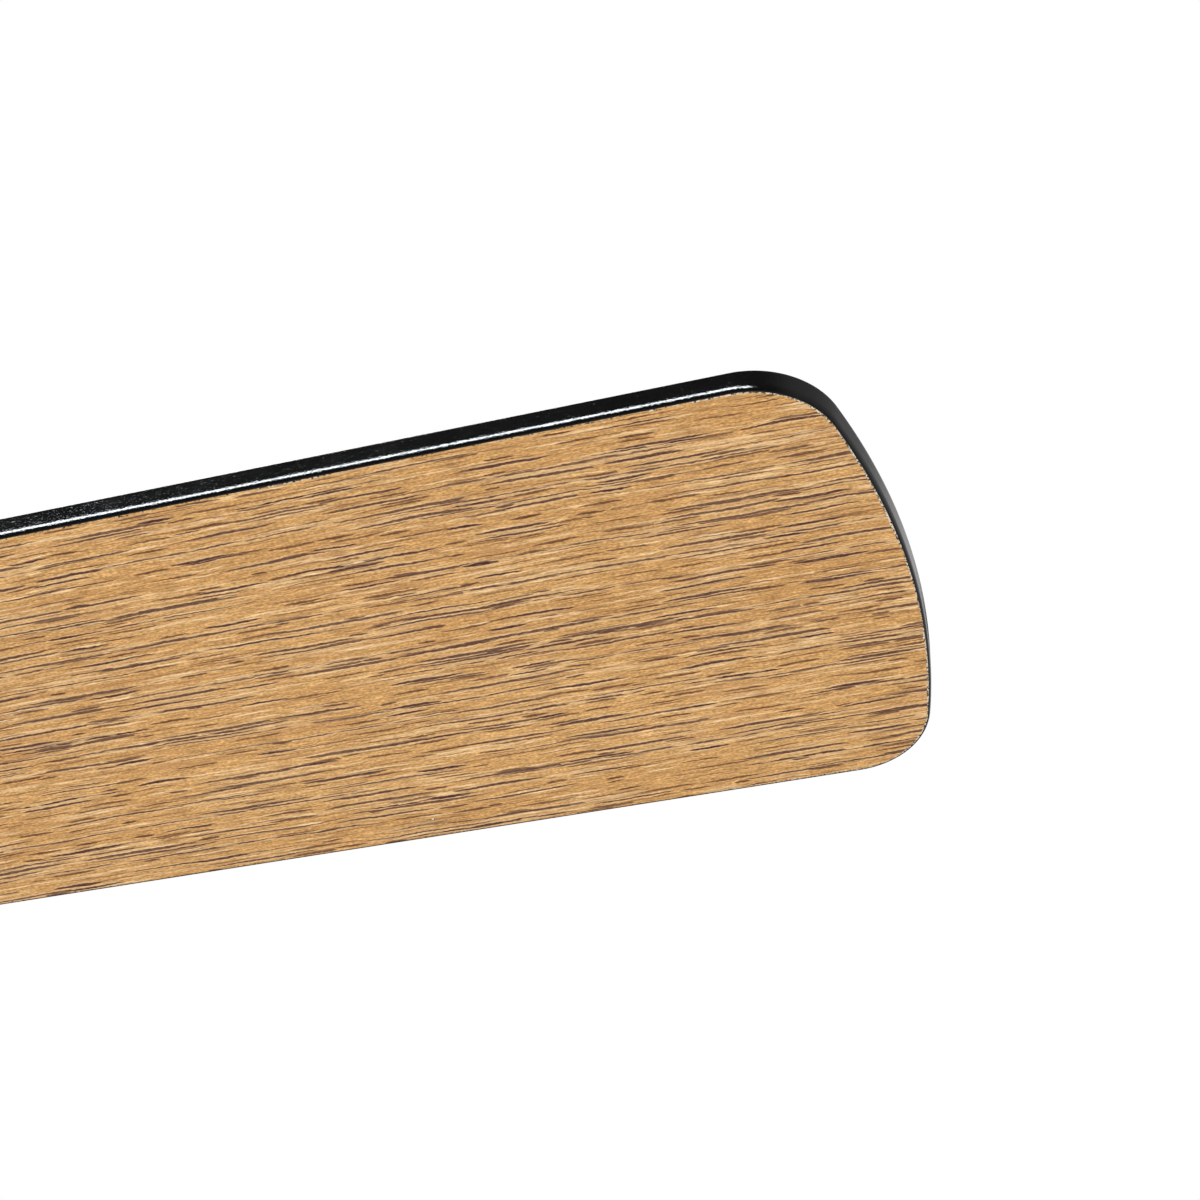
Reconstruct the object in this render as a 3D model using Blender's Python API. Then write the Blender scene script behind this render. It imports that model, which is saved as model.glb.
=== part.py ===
"""Ceiling-fan propeller: five flat, oak-faced wooden blades on cast irons, on the outer-rotor motor that
turns them, with the hollow spindle and the downrod yoke that it all hangs from.

Metres, +Z up. The origin is on the spin axis, in the top rim of the yoke, where the downrod goes in.
Blade 1 lies along +X. Heights of the motor's pieces are counted from its middle plane.
"""

import math

import bmesh
import bpy
from mathutils import Matrix, Vector

MM = 0.001

# Fits
CLEARANCE = 0.3 * MM  # between pieces that rest on each other or fit round each other
AIR_GAP = 0.5 * MM  # between the stator's teeth and the rotor ring
CUT_MARGIN = 2 * MM  # how far a cutter runs past the face it opens

# Blades
BLADE_COUNT = 5
TIP_RADIUS = 660 * MM
ROOT_RADIUS = 170 * MM
BLADE_WIDTH = 130.8 * MM  # where the centre line meets the tip
BLADE_THICKNESS = 6.35 * MM
BLADE_TAPER = math.radians(0.85)  # of each side, narrowing towards the root
BLADE_PITCH = math.radians(12.5)
BLADE_DROP = 26 * MM  # from the hub's pads down to the middle of the oak face
TIP_ARC_RADIUS = 193.5 * MM
TIP_CORNER_RADIUS = 21.2 * MM
ROOT_CORNER_RADIUS = 14 * MM
FILM_THICKNESS = 0.45 * MM
OAK_SHEET_THICKNESS = 0.5 * MM

# Blade irons
FOOT_START = 58 * MM
FOOT_END = 92 * MM
FOOT_WIDTH = 44 * MM
FOOT_CORNER = 8 * MM
FOOT_THICKNESS = 4.5 * MM
ARM_WAIST = 22 * MM
ARM_ROOT_WIDTH = 36 * MM
ARM_THICKNESS = 7 * MM
ARM_END_THICKNESS = 2.5 * MM
ARM_START = 80 * MM
FLANGE_THICKNESS = 3.5 * MM
FLANGE_LOBE = 9 * MM
BOSS_RADIUS = 6.5 * MM
BOSS_HEIGHT = 4 * MM

# Screws
BLADE_SCREW_RADIUS = 2.1 * MM
BLADE_SCREW_INSET = 20 * MM  # of the two inner screws, from the blade's root
BLADE_SCREW_REACH = 38 * MM  # from the inner pair out to the third
BLADE_SCREW_SPREAD = 26 * MM  # of each inner screw, from the centre line
HUB_SCREW_RADIUS = 2.5 * MM
HUB_SCREW_CIRCLE = 76 * MM
HUB_SCREW_SPREAD = 14 * MM
HUB_SCREW_LENGTH = 12 * MM
HEAD_RATIO = 1.9  # head radius over shank radius
HEAD_HEIGHT_RATIO = 1.25  # head height over shank radius

# Yoke and spindle
DOWNROD_RADIUS = 9.525 * MM
SOCKET_DEPTH = 26 * MM
YOKE_WALL = 6.2 * MM
YOKE_GRIP = 12 * MM  # length of spindle inside the yoke
YOKE_CHAMFER = 1.5 * MM
PIN_HOLE_RADIUS = 3.3 * MM
PIN_HOLE_DEPTH = 12 * MM
NECK_GAP = 6.4 * MM  # from the yoke down to the upper bell
SPINDLE_RADIUS = 8.5 * MM
SPINDLE_BORE = 4.5 * MM
SPINDLE_TAIL = 3.7 * MM  # below the nut
COLLAR_REACH = 4.5 * MM  # of the spindle's collar, past the stator stack

# Bearings
BEARING_WIDTH = 12 * MM
INNER_RING_WALL = 3.1 * MM
OUTER_RING_WALL = 3.4 * MM
RING_GAP = 4.7 * MM
BALL_RADIUS = 3.375 * MM
BALL_COUNT = 8
CAGE_WALL = 1.8 * MM
CAGE_HEIGHT = 4 * MM

# Motor
STATOR_RADIUS = 76.5 * MM
STACK_HEIGHT = 15 * MM
SLOT_COUNT = 16
SLOT_FLOOR = 43.6 * MM
TOOTH_LIP = 6.5 * MM
SLOT_MOUTH = math.radians(2)
COIL_OVERHANG = 5.5 * MM
ROTOR_RING_WALL = 11.5 * MM
ROTOR_RING_HEIGHT = 18 * MM

# Bells
BELL_RIM_WALL = 6.2 * MM
BELL_WEB = 4 * MM
BELL_HEADROOM = 4 * MM  # between the coils and the bell
BELL_LIP = 3 * MM
BELL_BOSS_WALL = 5.5 * MM
BELL_EDGE = 5 * MM
BELL_SHOULDER = 11 * MM  # by which the upper bell's rim is lower than its web
BELL_CROWN = 1 * MM
HOLE_RUNOUT = 1 * MM  # of a blind hole, past the end of its screw
NOSE_RECESS = 0.4 * MM  # by which the yoke's nose is smaller than the bearing's inner ring
NOSE_GAP = 1.5 * MM
PAD_HEIGHT = 3 * MM
PAD_WIDTH = 31 * MM
VENT_COUNT = 10
VENT_LENGTH = 20 * MM
VENT_WIDTH = 8 * MM
VENT_CIRCLE = 45 * MM

# Cap plate and nut
PLATE_RADIUS = 42 * MM
PLATE_THICKNESS = 3 * MM
PLATE_GAP = 3.4 * MM
PLATE_HOLE_RADIUS = 2.2 * MM
PLATE_HOLE_CIRCLE = 32 * MM
PLATE_HOLE_COUNT = 3
NUT_ACROSS_FLATS = 24 * MM
NUT_HEIGHT = 6 * MM

# Facets
MOTOR_SIDES = 32
SHAFT_SIDES = 16
SCREW_SIDES = 8
BOSS_SIDES = 10
PIN_HOLE_SIDES = 12
BALL_SEGMENTS = 8
BALL_RINGS = 4
HEAD_STEPS = 3
TIP_ARC_STEPS = 8
TIP_CORNER_STEPS = 5
ROOT_CORNER_STEPS = 3
FOOT_CORNER_STEPS = 3
LOBE_STEPS = 4
ARM_SECTIONS = 7
GROOVE_STEPS = 4
SMOOTH_ANGLE = math.radians(35)

# Radii that follow from those sizes
ring_bore = SPINDLE_RADIUS + CLEARANCE
inner_ring_radius = ring_bore + INNER_RING_WALL
ball_circle = inner_ring_radius + RING_GAP / 2
outer_ring_bore = inner_ring_radius + RING_GAP
bearing_radius = outer_ring_bore + OUTER_RING_WALL
pocket_radius = bearing_radius + CLEARANCE
nose_radius = inner_ring_radius - NOSE_RECESS
lip_bore = nose_radius + NOSE_GAP
socket_radius = DOWNROD_RADIUS + CLEARANCE
rotor_bore = STATOR_RADIUS + AIR_GAP
rotor_radius = rotor_bore + ROTOR_RING_WALL
bell_bore = rotor_radius + CLEARANCE
bell_radius = bell_bore + BELL_RIM_WALL

# Heights above or below the motor's middle plane
collar_half = STACK_HEIGHT / 2 + COLLAR_REACH
bearing_start = collar_half + CLEARANCE
bearing_end = bearing_start + BEARING_WIDTH
lip_start = bearing_end + CLEARANCE
bell_end = lip_start + BELL_LIP
coil_end = STACK_HEIGHT / 2 + COIL_OVERHANG
bell_floor = coil_end + BELL_HEADROOM
web_end = bell_floor + BELL_WEB
pad_end = web_end + PAD_HEIGHT
ledge = ROTOR_RING_HEIGHT / 2 + CLEARANCE

# World heights
yoke_bottom = -SOCKET_DEPTH - YOKE_GRIP
motor_z = yoke_bottom - NECK_GAP - bell_end
pad_z = motor_z - pad_end
blade_z = pad_z - BLADE_DROP
foot_top = pad_z - CLEARANCE
foot_bottom = foot_top - FOOT_THICKNESS
plate_top = motor_z - bell_end - PLATE_GAP
plate_bottom = plate_top - PLATE_THICKNESS
nut_top = plate_bottom - CLEARANCE
nut_bottom = nut_top - NUT_HEIGHT
spindle_top = -SOCKET_DEPTH - CLEARANCE
spindle_bottom = nut_bottom - SPINDLE_TAIL

# Heights above the oak face, square to the board
sheet_inset = FILM_THICKNESS + CLEARANCE
core_bottom = OAK_SHEET_THICKNESS + CLEARANCE
core_top = BLADE_THICKNESS - FILM_THICKNESS - CLEARANCE
flange_bottom = BLADE_THICKNESS + CLEARANCE
flange_top = flange_bottom + FLANGE_THICKNESS
boss_top = flange_top + BOSS_HEIGHT
blade_screw_end = boss_top - CLEARANCE

inner_screw_x = ROOT_RADIUS + BLADE_SCREW_INSET
BLADE_SCREWS = [
    (inner_screw_x, -BLADE_SCREW_SPREAD),
    (inner_screw_x + BLADE_SCREW_REACH, 0.0),
    (inner_screw_x, BLADE_SCREW_SPREAD),
]
HUB_SCREWS = [(HUB_SCREW_CIRCLE, -HUB_SCREW_SPREAD), (HUB_SCREW_CIRCLE, HUB_SCREW_SPREAD)]


# Outlines: lists of (x, y), counter-clockwise


def arc(centre, radius, start, end, steps):
    """Points along an arc from one angle to another, both ends included."""
    angles = [start + (end - start) * i / steps for i in range(steps + 1)]
    return [(centre[0] + radius * math.cos(a), centre[1] + radius * math.sin(a)) for a in angles]


def ring_of_points(radius, sides, centre=(0.0, 0.0)):
    return arc(centre, radius, 0.0, math.tau * (sides - 1) / sides, sides - 1)


def rounded_rectangle(x0, x1, half_width, corner, steps):
    quarter = math.pi / 2
    corners = [
        (x1 - corner, -half_width + corner, -1),
        (x1 - corner, half_width - corner, 0),
        (x0 + corner, half_width - corner, 1),
        (x0 + corner, -half_width + corner, 2),
    ]
    points = []
    for x, y, turn in corners:
        points += arc((x, y), corner, turn * quarter, (turn + 1) * quarter, steps)
    return points


def rounded_hull(centres, radius, steps):
    """The outline round equal circles whose centres run counter-clockwise."""
    points = []
    for i, centre in enumerate(centres):
        before = Vector(centre) - Vector(centres[i - 1])
        after = Vector(centres[(i + 1) % len(centres)]) - Vector(centre)
        start = math.atan2(-before.x, before.y)
        end = math.atan2(-after.x, after.y)
        end += math.tau if end < start else 0.0
        points += arc(centre, radius, start, end, steps)
    return points


def blade_outline(inset):
    """The board's edge, moved in by inset: an arched tip, two rounded corners, and sides that taper inwards."""
    slope = math.tan(BLADE_TAPER)
    cosine = math.cos(BLADE_TAPER)
    corner = TIP_CORNER_RADIUS - inset
    # The tip corner's centre stays the same distance inside the side and inside the tip's arc.
    reach = TIP_ARC_RADIUS - TIP_CORNER_RADIUS
    side = BLADE_WIDTH / 2 * cosine - TIP_CORNER_RADIUS
    a = 1 + slope**2
    b = 2 * TIP_ARC_RADIUS + 2 * side * slope / cosine
    c = TIP_ARC_RADIUS**2 + (side / cosine) ** 2 - reach**2
    back = (-b + math.sqrt(b * b - 4 * a * c)) / (2 * a)
    corner_x = TIP_RADIUS + back
    corner_y = side / cosine + back * slope
    tip_centre = (TIP_RADIUS - TIP_ARC_RADIUS, 0.0)
    meets = math.atan2(corner_y, back + TIP_ARC_RADIUS)
    square = math.pi / 2 + BLADE_TAPER
    tip = arc(tip_centre, TIP_ARC_RADIUS - inset, -meets, meets, TIP_ARC_STEPS)
    upper = arc((corner_x, corner_y), corner, meets, square, TIP_CORNER_STEPS)[1:]
    lower = [(x, -y) for x, y in reversed(upper)]
    root_half = BLADE_WIDTH / 2 + (ROOT_RADIUS - TIP_RADIUS) * slope
    root_x = ROOT_RADIUS + ROOT_CORNER_RADIUS
    root_y = root_half - ROOT_CORNER_RADIUS * (1 / cosine - slope)
    root_corner = ROOT_CORNER_RADIUS - inset
    root_upper = arc((root_x, root_y), root_corner, square, math.pi, ROOT_CORNER_STEPS)
    root_lower = [(x, -y) for x, y in reversed(root_upper)]
    return lower + tip + upper + root_upper + root_lower


def slotted_outline():
    """The stator's lamination: teeth with lips, and slots whose sides point at the axis."""
    pitch = math.tau / SLOT_COUNT
    half_slot = pitch / 4 + math.asin(CLEARANCE / SLOT_FLOOR)
    neck = STATOR_RADIUS - TOOTH_LIP
    points = []
    for i in range(SLOT_COUNT):
        middle = pitch * (i + 0.25)
        corners = [
            (STATOR_RADIUS, -SLOT_MOUTH),
            (neck, -half_slot),
            (SLOT_FLOOR, -half_slot),
            (SLOT_FLOOR, half_slot),
            (neck, half_slot),
            (STATOR_RADIUS, SLOT_MOUTH),
            (STATOR_RADIUS, pitch / 2),
        ]
        points += [
            (radius * math.cos(middle + turn), radius * math.sin(middle + turn))
            for radius, turn in corners
        ]
    return points


# Meshes


def finished(build, name):
    """The bmesh as a mesh, with its faces outwards and its round stretches smooth."""
    bmesh.ops.recalc_face_normals(build, faces=build.faces[:])
    mesh = bpy.data.meshes.new(name)
    build.to_mesh(mesh)
    build.free()
    mesh.shade_smooth()
    mesh.set_sharp_from_angle(angle=SMOOTH_ANGLE)
    return mesh


def plate(name, outline, bottom, top, holes=()):
    """A flat plate of the outline between two heights, with holes of any outline through it."""
    build = bmesh.new()
    for loop in [outline, *holes]:
        corners = [build.verts.new((x, y, bottom)) for x, y in loop]
        for i, corner in enumerate(corners):
            build.edges.new((corners[i - 1], corner))
    filled = bmesh.ops.triangle_fill(build, use_beauty=True, edges=build.edges[:])
    faces = [item for item in filled["geom"] if isinstance(item, bmesh.types.BMFace)]
    raised = bmesh.ops.extrude_face_region(build, geom=faces, use_keep_orig=True)
    lifted = [item for item in raised["geom"] if isinstance(item, bmesh.types.BMVert)]
    bmesh.ops.translate(build, verts=lifted, vec=(0, 0, top - bottom))
    return finished(build, name)


def turned(name, profile, sides, ring=False):
    """A profile of (radius, height) turned about Z. A ring's profile closes on itself, off the axis."""
    build = bmesh.new()
    rows = []
    for radius, height in profile:
        if radius == 0:
            rows.append([build.verts.new((0, 0, height))] * sides)
            continue
        rows.append([build.verts.new((x, y, height)) for x, y in ring_of_points(radius, sides)])
    pairs = list(zip(rows, rows[1:] + rows[:1])) if ring else list(zip(rows, rows[1:]))
    for row, following in pairs:
        for i in range(sides):
            corners = [row[i - 1], row[i], following[i], following[i - 1]]
            build.faces.new(list(dict.fromkeys(corners)))
    return finished(build, name)


def lofted(name, sections):
    """A closed tube through sections of equal numbers of points, with flat ends."""
    build = bmesh.new()
    rows = [[build.verts.new(point) for point in section] for section in sections]
    for row, following in zip(rows, rows[1:]):
        for i in range(len(row)):
            build.faces.new((row[i - 1], row[i], following[i], following[i - 1]))
    build.faces.new(rows[0])
    build.faces.new(rows[-1])
    return finished(build, name)


def combined(mesh, other, operation):
    """The mesh after a Boolean with another mesh in the same space: UNION or DIFFERENCE."""
    scene = bpy.context.scene.collection
    target = bpy.data.objects.new("target", mesh)
    tool = bpy.data.objects.new("tool", other)
    scene.objects.link(target)
    scene.objects.link(tool)
    boolean = target.modifiers.new("boolean", "BOOLEAN")
    boolean.operation = operation
    boolean.solver = "EXACT"
    boolean.object = tool
    bpy.context.view_layer.update()
    graph = bpy.context.evaluated_depsgraph_get()
    result = bpy.data.meshes.new_from_object(target.evaluated_get(graph))
    result.name = mesh.name
    bpy.data.objects.remove(target)
    bpy.data.objects.remove(tool)
    return result


def rod(radius, start, end, sides, place=(0.0, 0.0)):
    """A plain cylinder along Z, for cutting a hole or adding a boss."""
    return plate("rod", ring_of_points(radius, sides, place), start, end)


def moved(mesh, matrix):
    mesh.transform(matrix)
    return mesh


# Blade pieces, in the board's own frame: x outwards, z up through the board from its oak face


def screw_holes(radius):
    return [ring_of_points(radius, SCREW_SIDES, place) for place in BLADE_SCREWS]


def core_mesh():
    holes = screw_holes(BLADE_SCREW_RADIUS + CLEARANCE)
    return plate("blade_core", blade_outline(sheet_inset), core_bottom, core_top, holes)


def oak_face_mesh():
    holes = screw_holes(BLADE_SCREW_RADIUS + CLEARANCE)
    return plate("oak_face", blade_outline(sheet_inset), 0.0, OAK_SHEET_THICKNESS, holes)


def black_film_mesh():
    """A tray: the film on the board's back and down its edges."""
    holes = screw_holes(BLADE_SCREW_RADIUS + CLEARANCE)
    film = plate("black_film", blade_outline(0.0), 0.0, BLADE_THICKNESS, holes)
    hollow_top = BLADE_THICKNESS - FILM_THICKNESS
    hollow = plate("hollow", blade_outline(FILM_THICKNESS), -CUT_MARGIN, hollow_top)
    return combined(film, hollow, "DIFFERENCE")


def screw_mesh(name, radius, length):
    """A pan-head screw along +Z, with the underside of its head at the origin."""
    head = radius * HEAD_RATIO
    height = radius * HEAD_HEIGHT_RATIO
    profile = [(0, length), (radius, length), (radius, 0.0)]
    for i in range(HEAD_STEPS):
        angle = math.pi / 2 * i / HEAD_STEPS
        profile.append((head * math.cos(angle), -height * math.sin(angle)))
    profile.append((0, -height))
    return turned(name, profile, SCREW_SIDES)


# Blade iron, in the hub's frame turned to its blade: x outwards, z up


def board_frame():
    return Matrix.Translation((0, 0, blade_z)) @ Matrix.Rotation(-BLADE_PITCH, 4, "X")


def arm_sections():
    """Eight-sided sections that drop from the foot to the flange and turn to the blade's pitch."""
    end_x = inner_screw_x - BOSS_RADIUS / 2
    start = Vector((ARM_START, 0, (foot_top + foot_bottom) / 2))
    end = board_frame() @ Vector((end_x, 0, (flange_bottom + flange_top) / 2))
    sections = []
    for i in range(ARM_SECTIONS):
        along = i / (ARM_SECTIONS - 1)
        ease = along * along * (3 - 2 * along)
        swell = math.sin(math.pi * along)
        half_width = (ARM_ROOT_WIDTH - (ARM_ROOT_WIDTH - ARM_WAIST) * swell) / 2
        half_height = (ARM_END_THICKNESS + (ARM_THICKNESS - ARM_END_THICKNESS) * swell) / 2
        middle = start.lerp(end, ease)
        middle.x = start.x + (end.x - start.x) * along
        place = Matrix.Translation(middle)
        turn = Matrix.Rotation(-BLADE_PITCH * ease, 4, "X")
        outer = half_width - half_height / 2
        corners = [
            (half_width, half_height / 2),
            (outer, half_height),
            (-outer, half_height),
            (-half_width, half_height / 2),
            (-half_width, -half_height / 2),
            (-outer, -half_height),
            (outer, -half_height),
            (half_width, -half_height / 2),
        ]
        sections.append([place @ turn @ Vector((0, y, z)) for y, z in corners])
    return sections


def iron_mesh():
    """The cast arm: a foot with two holes, a dropped and twisted arm, and a three-lobed flange with bosses."""
    foot_holes = [
        ring_of_points(HUB_SCREW_RADIUS + CLEARANCE, SCREW_SIDES, place) for place in HUB_SCREWS
    ]
    half_width = FOOT_WIDTH / 2
    foot_outline = rounded_rectangle(
        FOOT_START, FOOT_END, half_width, FOOT_CORNER, FOOT_CORNER_STEPS
    )
    foot = plate("iron", foot_outline, foot_bottom, foot_top, foot_holes)
    lobes = rounded_hull(BLADE_SCREWS, FLANGE_LOBE, LOBE_STEPS)
    flange = plate("flange", lobes, flange_bottom, flange_top)
    inside_flange = flange_bottom + FLANGE_THICKNESS / 2
    for place in BLADE_SCREWS:
        boss = rod(BOSS_RADIUS, inside_flange, boss_top, BOSS_SIDES, place)
        flange = combined(flange, boss, "UNION")
    iron = combined(foot, lofted("arm", arm_sections()), "UNION")
    iron = combined(iron, moved(flange, board_frame()), "UNION")
    for place in BLADE_SCREWS:
        radius = BLADE_SCREW_RADIUS + CLEARANCE
        hole = rod(radius, -CUT_MARGIN, boss_top + CUT_MARGIN, SCREW_SIDES, place)
        iron = combined(iron, moved(hole, board_frame()), "DIFFERENCE")
    return iron


# Hub pieces, in the object's frame


def yoke_mesh():
    """The downrod's socket above, the spindle's grip below, and a nose that bears on the upper bearing."""
    outside = socket_radius + YOKE_WALL
    nose_end = motor_z + bearing_end + CLEARANCE
    profile = [
        (socket_radius, 0.0),
        (socket_radius, -SOCKET_DEPTH),
        (ring_bore, -SOCKET_DEPTH),
        (ring_bore, nose_end),
        (nose_radius, nose_end),
        (nose_radius, yoke_bottom),
        (outside - YOKE_CHAMFER, yoke_bottom),
        (outside, yoke_bottom + YOKE_CHAMFER),
        (outside, -YOKE_CHAMFER),
        (outside - YOKE_CHAMFER, 0.0),
    ]
    yoke = turned("yoke", profile, SHAFT_SIDES, ring=True)
    reach = outside + CUT_MARGIN
    pin = rod(PIN_HOLE_RADIUS, -reach, reach, PIN_HOLE_SIDES)
    across = Matrix.Translation((0, 0, -PIN_HOLE_DEPTH)) @ Matrix.Rotation(math.pi / 2, 4, "X")
    return combined(yoke, moved(pin, across), "DIFFERENCE")


def spindle_mesh():
    """A hollow shaft with a collar for the stator and the bearings' inner rings."""
    profile = [
        (SPINDLE_BORE, spindle_top),
        (SPINDLE_BORE, spindle_bottom),
        (SPINDLE_RADIUS, spindle_bottom),
        (SPINDLE_RADIUS, motor_z - collar_half),
        (inner_ring_radius, motor_z - collar_half),
        (inner_ring_radius, motor_z + collar_half),
        (SPINDLE_RADIUS, motor_z + collar_half),
        (SPINDLE_RADIUS, spindle_top),
    ]
    return turned("spindle", profile, SHAFT_SIDES, ring=True)


def groove(side):
    """Points of a ball groove from below to above: side is -1 on the inner ring, 1 on the outer."""
    radius = BALL_RADIUS + CLEARANCE
    edge = math.acos(RING_GAP / 2 / radius)
    angles = [edge * (2 * i / GROOVE_STEPS - 1) for i in range(GROOVE_STEPS + 1)]
    return [(ball_circle + side * radius * math.cos(a), radius * math.sin(a)) for a in angles]


def bearing_ring_mesh(name, smooth_radius, side):
    half = BEARING_WIDTH / 2
    raceway = groove(side)
    profile = [(smooth_radius, half), (smooth_radius, -half), (raceway[0][0], -half)]
    profile += raceway + [(raceway[-1][0], half)]
    return turned(name, profile, SHAFT_SIDES, ring=True)


def ball_cage_mesh():
    """The balls with the ribbon cage that spaces them."""
    inside = ball_circle - CAGE_WALL / 2
    outside = ball_circle + CAGE_WALL / 2
    half = CAGE_HEIGHT / 2
    profile = [(inside, -half), (outside, -half), (outside, half), (inside, half)]
    cage = turned("ball_cage", profile, 2 * BALL_COUNT, ring=True)
    for i in range(BALL_COUNT):
        angle = math.tau * (i + 0.25) / BALL_COUNT
        place = Vector((ball_circle * math.cos(angle), ball_circle * math.sin(angle), 0))
        build = bmesh.new()
        bmesh.ops.create_uvsphere(
            build,
            u_segments=BALL_SEGMENTS,
            v_segments=BALL_RINGS,
            radius=BALL_RADIUS,
            matrix=Matrix.Translation(place),
        )
        cage = combined(cage, finished(build, "ball"), "UNION")
    return cage


def stator_core_mesh():
    bore = ring_of_points(inner_ring_radius + CLEARANCE, SHAFT_SIDES)
    half = STACK_HEIGHT / 2
    return plate("stator_core", slotted_outline(), motor_z - half, motor_z + half, [bore])


def winding_mesh():
    """The coils: a ring above the stack and one below, joined by a bar through every slot."""
    inside = SLOT_FLOOR + CLEARANCE
    outside = STATOR_RADIUS - TOOTH_LIP - CLEARANCE
    near = STACK_HEIGHT / 2 + CLEARANCE
    segments = 2 * SLOT_COUNT
    build = bmesh.new()
    rings = []
    for side in (-1, 1):
        corners = [(inside, near), (outside, near), (outside, coil_end), (inside, coil_end)]
        rows = []
        for radius, height in corners:
            z = motor_z + side * height
            rows.append([build.verts.new((x, y, z)) for x, y in ring_of_points(radius, segments)])
        rings.append(rows)
        for k in range(4):
            for i in range(segments):
                carries_bar = k == 0 and i % 2 == 1
                if not carries_bar:
                    row, following = rows[k], rows[(k + 1) % 4]
                    build.faces.new((row[i - 1], row[i], following[i], following[i - 1]))
    lower, upper = rings
    for i in range(1, segments, 2):
        low = [lower[0][i - 1], lower[0][i], lower[1][i], lower[1][i - 1]]
        high = [upper[0][i - 1], upper[0][i], upper[1][i], upper[1][i - 1]]
        for k in range(4):
            build.faces.new((low[k - 1], low[k], high[k], high[k - 1]))
    return finished(build, "stator_winding")


def rotor_ring_mesh():
    half = ROTOR_RING_HEIGHT / 2
    profile = [
        (rotor_bore, motor_z + half),
        (rotor_bore, motor_z - half),
        (rotor_radius, motor_z - half),
        (rotor_radius, motor_z + half),
    ]
    return turned("rotor_ring", profile, MOTOR_SIDES, ring=True)


def bell_profile(crown):
    """Half of the motor's case, in heights away from the middle plane. The crown is its outer face."""
    boss_radius = pocket_radius + BELL_BOSS_WALL
    shelf = STATOR_RADIUS + TOOTH_LIP / 2
    coil_step = STATOR_RADIUS - TOOTH_LIP
    inside = [
        (bell_radius, CLEARANCE / 2),
        (bell_bore, CLEARANCE / 2),
        (bell_bore, ledge),
        (shelf, ledge),
        (shelf, coil_end + CLEARANCE),
        (coil_step, coil_end + CLEARANCE),
        (coil_step - BELL_HEADROOM, bell_floor),
        (boss_radius, bell_floor),
        (boss_radius, collar_half),
        (pocket_radius, collar_half),
        (pocket_radius, lip_start),
        (lip_bore, lip_start),
        (lip_bore, bell_end),
        (boss_radius - BELL_EDGE / 2, bell_end),
    ]
    return inside + crown


def vent_cutters():
    """Radial slots with pointed ends, spaced evenly between the bell's boss and its pads."""
    half_length = VENT_LENGTH / 2
    half_width = VENT_WIDTH / 2
    slot = [
        (VENT_CIRCLE + half_length, 0.0),
        (VENT_CIRCLE + half_length - half_width, half_width),
        (VENT_CIRCLE - half_length + half_width, half_width),
        (VENT_CIRCLE - half_length, 0.0),
        (VENT_CIRCLE - half_length + half_width, -half_width),
        (VENT_CIRCLE + half_length - half_width, -half_width),
    ]
    for i in range(VENT_COUNT):
        cutter = plate("vent", slot, bell_floor - CUT_MARGIN, bell_end + CUT_MARGIN)
        yield moved(cutter, Matrix.Rotation(math.tau * (i + 0.5) / VENT_COUNT, 4, "Z"))


def upper_bell_mesh():
    boss_radius = pocket_radius + BELL_BOSS_WALL
    crown = [
        (boss_radius + BELL_EDGE, web_end + BELL_CROWN),
        (bell_radius - PAD_WIDTH, web_end),
        (bell_radius - 2 * BELL_EDGE, web_end - BELL_EDGE / 2),
        (bell_radius, web_end - BELL_SHOULDER),
    ]
    bell = turned("upper_bell", bell_profile(crown), MOTOR_SIDES, ring=True)
    for cutter in vent_cutters():
        bell = combined(bell, cutter, "DIFFERENCE")
    return moved(bell, Matrix.Translation((0, 0, motor_z)))


def lower_bell_mesh():
    """As the upper bell, upside down, with a thick ring of pads that the irons are screwed to."""
    boss_radius = pocket_radius + BELL_BOSS_WALL
    crown = [
        (boss_radius + BELL_EDGE, web_end),
        (bell_radius - PAD_WIDTH - PAD_HEIGHT, web_end),
        (bell_radius - PAD_WIDTH, pad_end),
        (bell_radius - BELL_EDGE, pad_end),
        (bell_radius, pad_end - BELL_EDGE),
    ]
    bell = turned("lower_bell", bell_profile(crown), MOTOR_SIDES, ring=True)
    for cutter in vent_cutters():
        bell = combined(bell, cutter, "DIFFERENCE")
    grip = HUB_SCREW_LENGTH - FOOT_THICKNESS - 2 * CLEARANCE
    hole_end = pad_end - grip - HOLE_RUNOUT
    for i in range(BLADE_COUNT):
        turn = Matrix.Rotation(math.tau * i / BLADE_COUNT, 4, "Z")
        for place in HUB_SCREWS:
            radius = HUB_SCREW_RADIUS + CLEARANCE
            hole = rod(radius, hole_end, pad_end + CUT_MARGIN, SCREW_SIDES, place)
            bell = combined(bell, moved(hole, turn), "DIFFERENCE")
    # Turned over about X, each pair of holes lands under the blade on the other side of X.
    over = Matrix.Translation((0, 0, motor_z)) @ Matrix.Rotation(math.pi, 4, "X")
    return moved(bell, over)


def cap_plate_mesh():
    """The fixed plate under the motor, with a sleeve up to the lower bearing and three threaded holes."""
    sleeve_top = motor_z - bearing_end - CLEARANCE
    profile = [
        (ring_bore, sleeve_top),
        (ring_bore, plate_bottom),
        (PLATE_RADIUS, plate_bottom),
        (PLATE_RADIUS, plate_top),
        (nose_radius, plate_top),
        (nose_radius, sleeve_top),
    ]
    disc = turned("cap_plate", profile, MOTOR_SIDES, ring=True)
    for i in range(PLATE_HOLE_COUNT):
        angle = math.tau * (i + 0.5) / PLATE_HOLE_COUNT
        place = (PLATE_HOLE_CIRCLE * math.cos(angle), PLATE_HOLE_CIRCLE * math.sin(angle))
        hole = rod(
            PLATE_HOLE_RADIUS,
            plate_bottom - CUT_MARGIN,
            plate_top + CUT_MARGIN,
            SCREW_SIDES,
            place,
        )
        disc = combined(disc, hole, "DIFFERENCE")
    return disc


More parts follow.
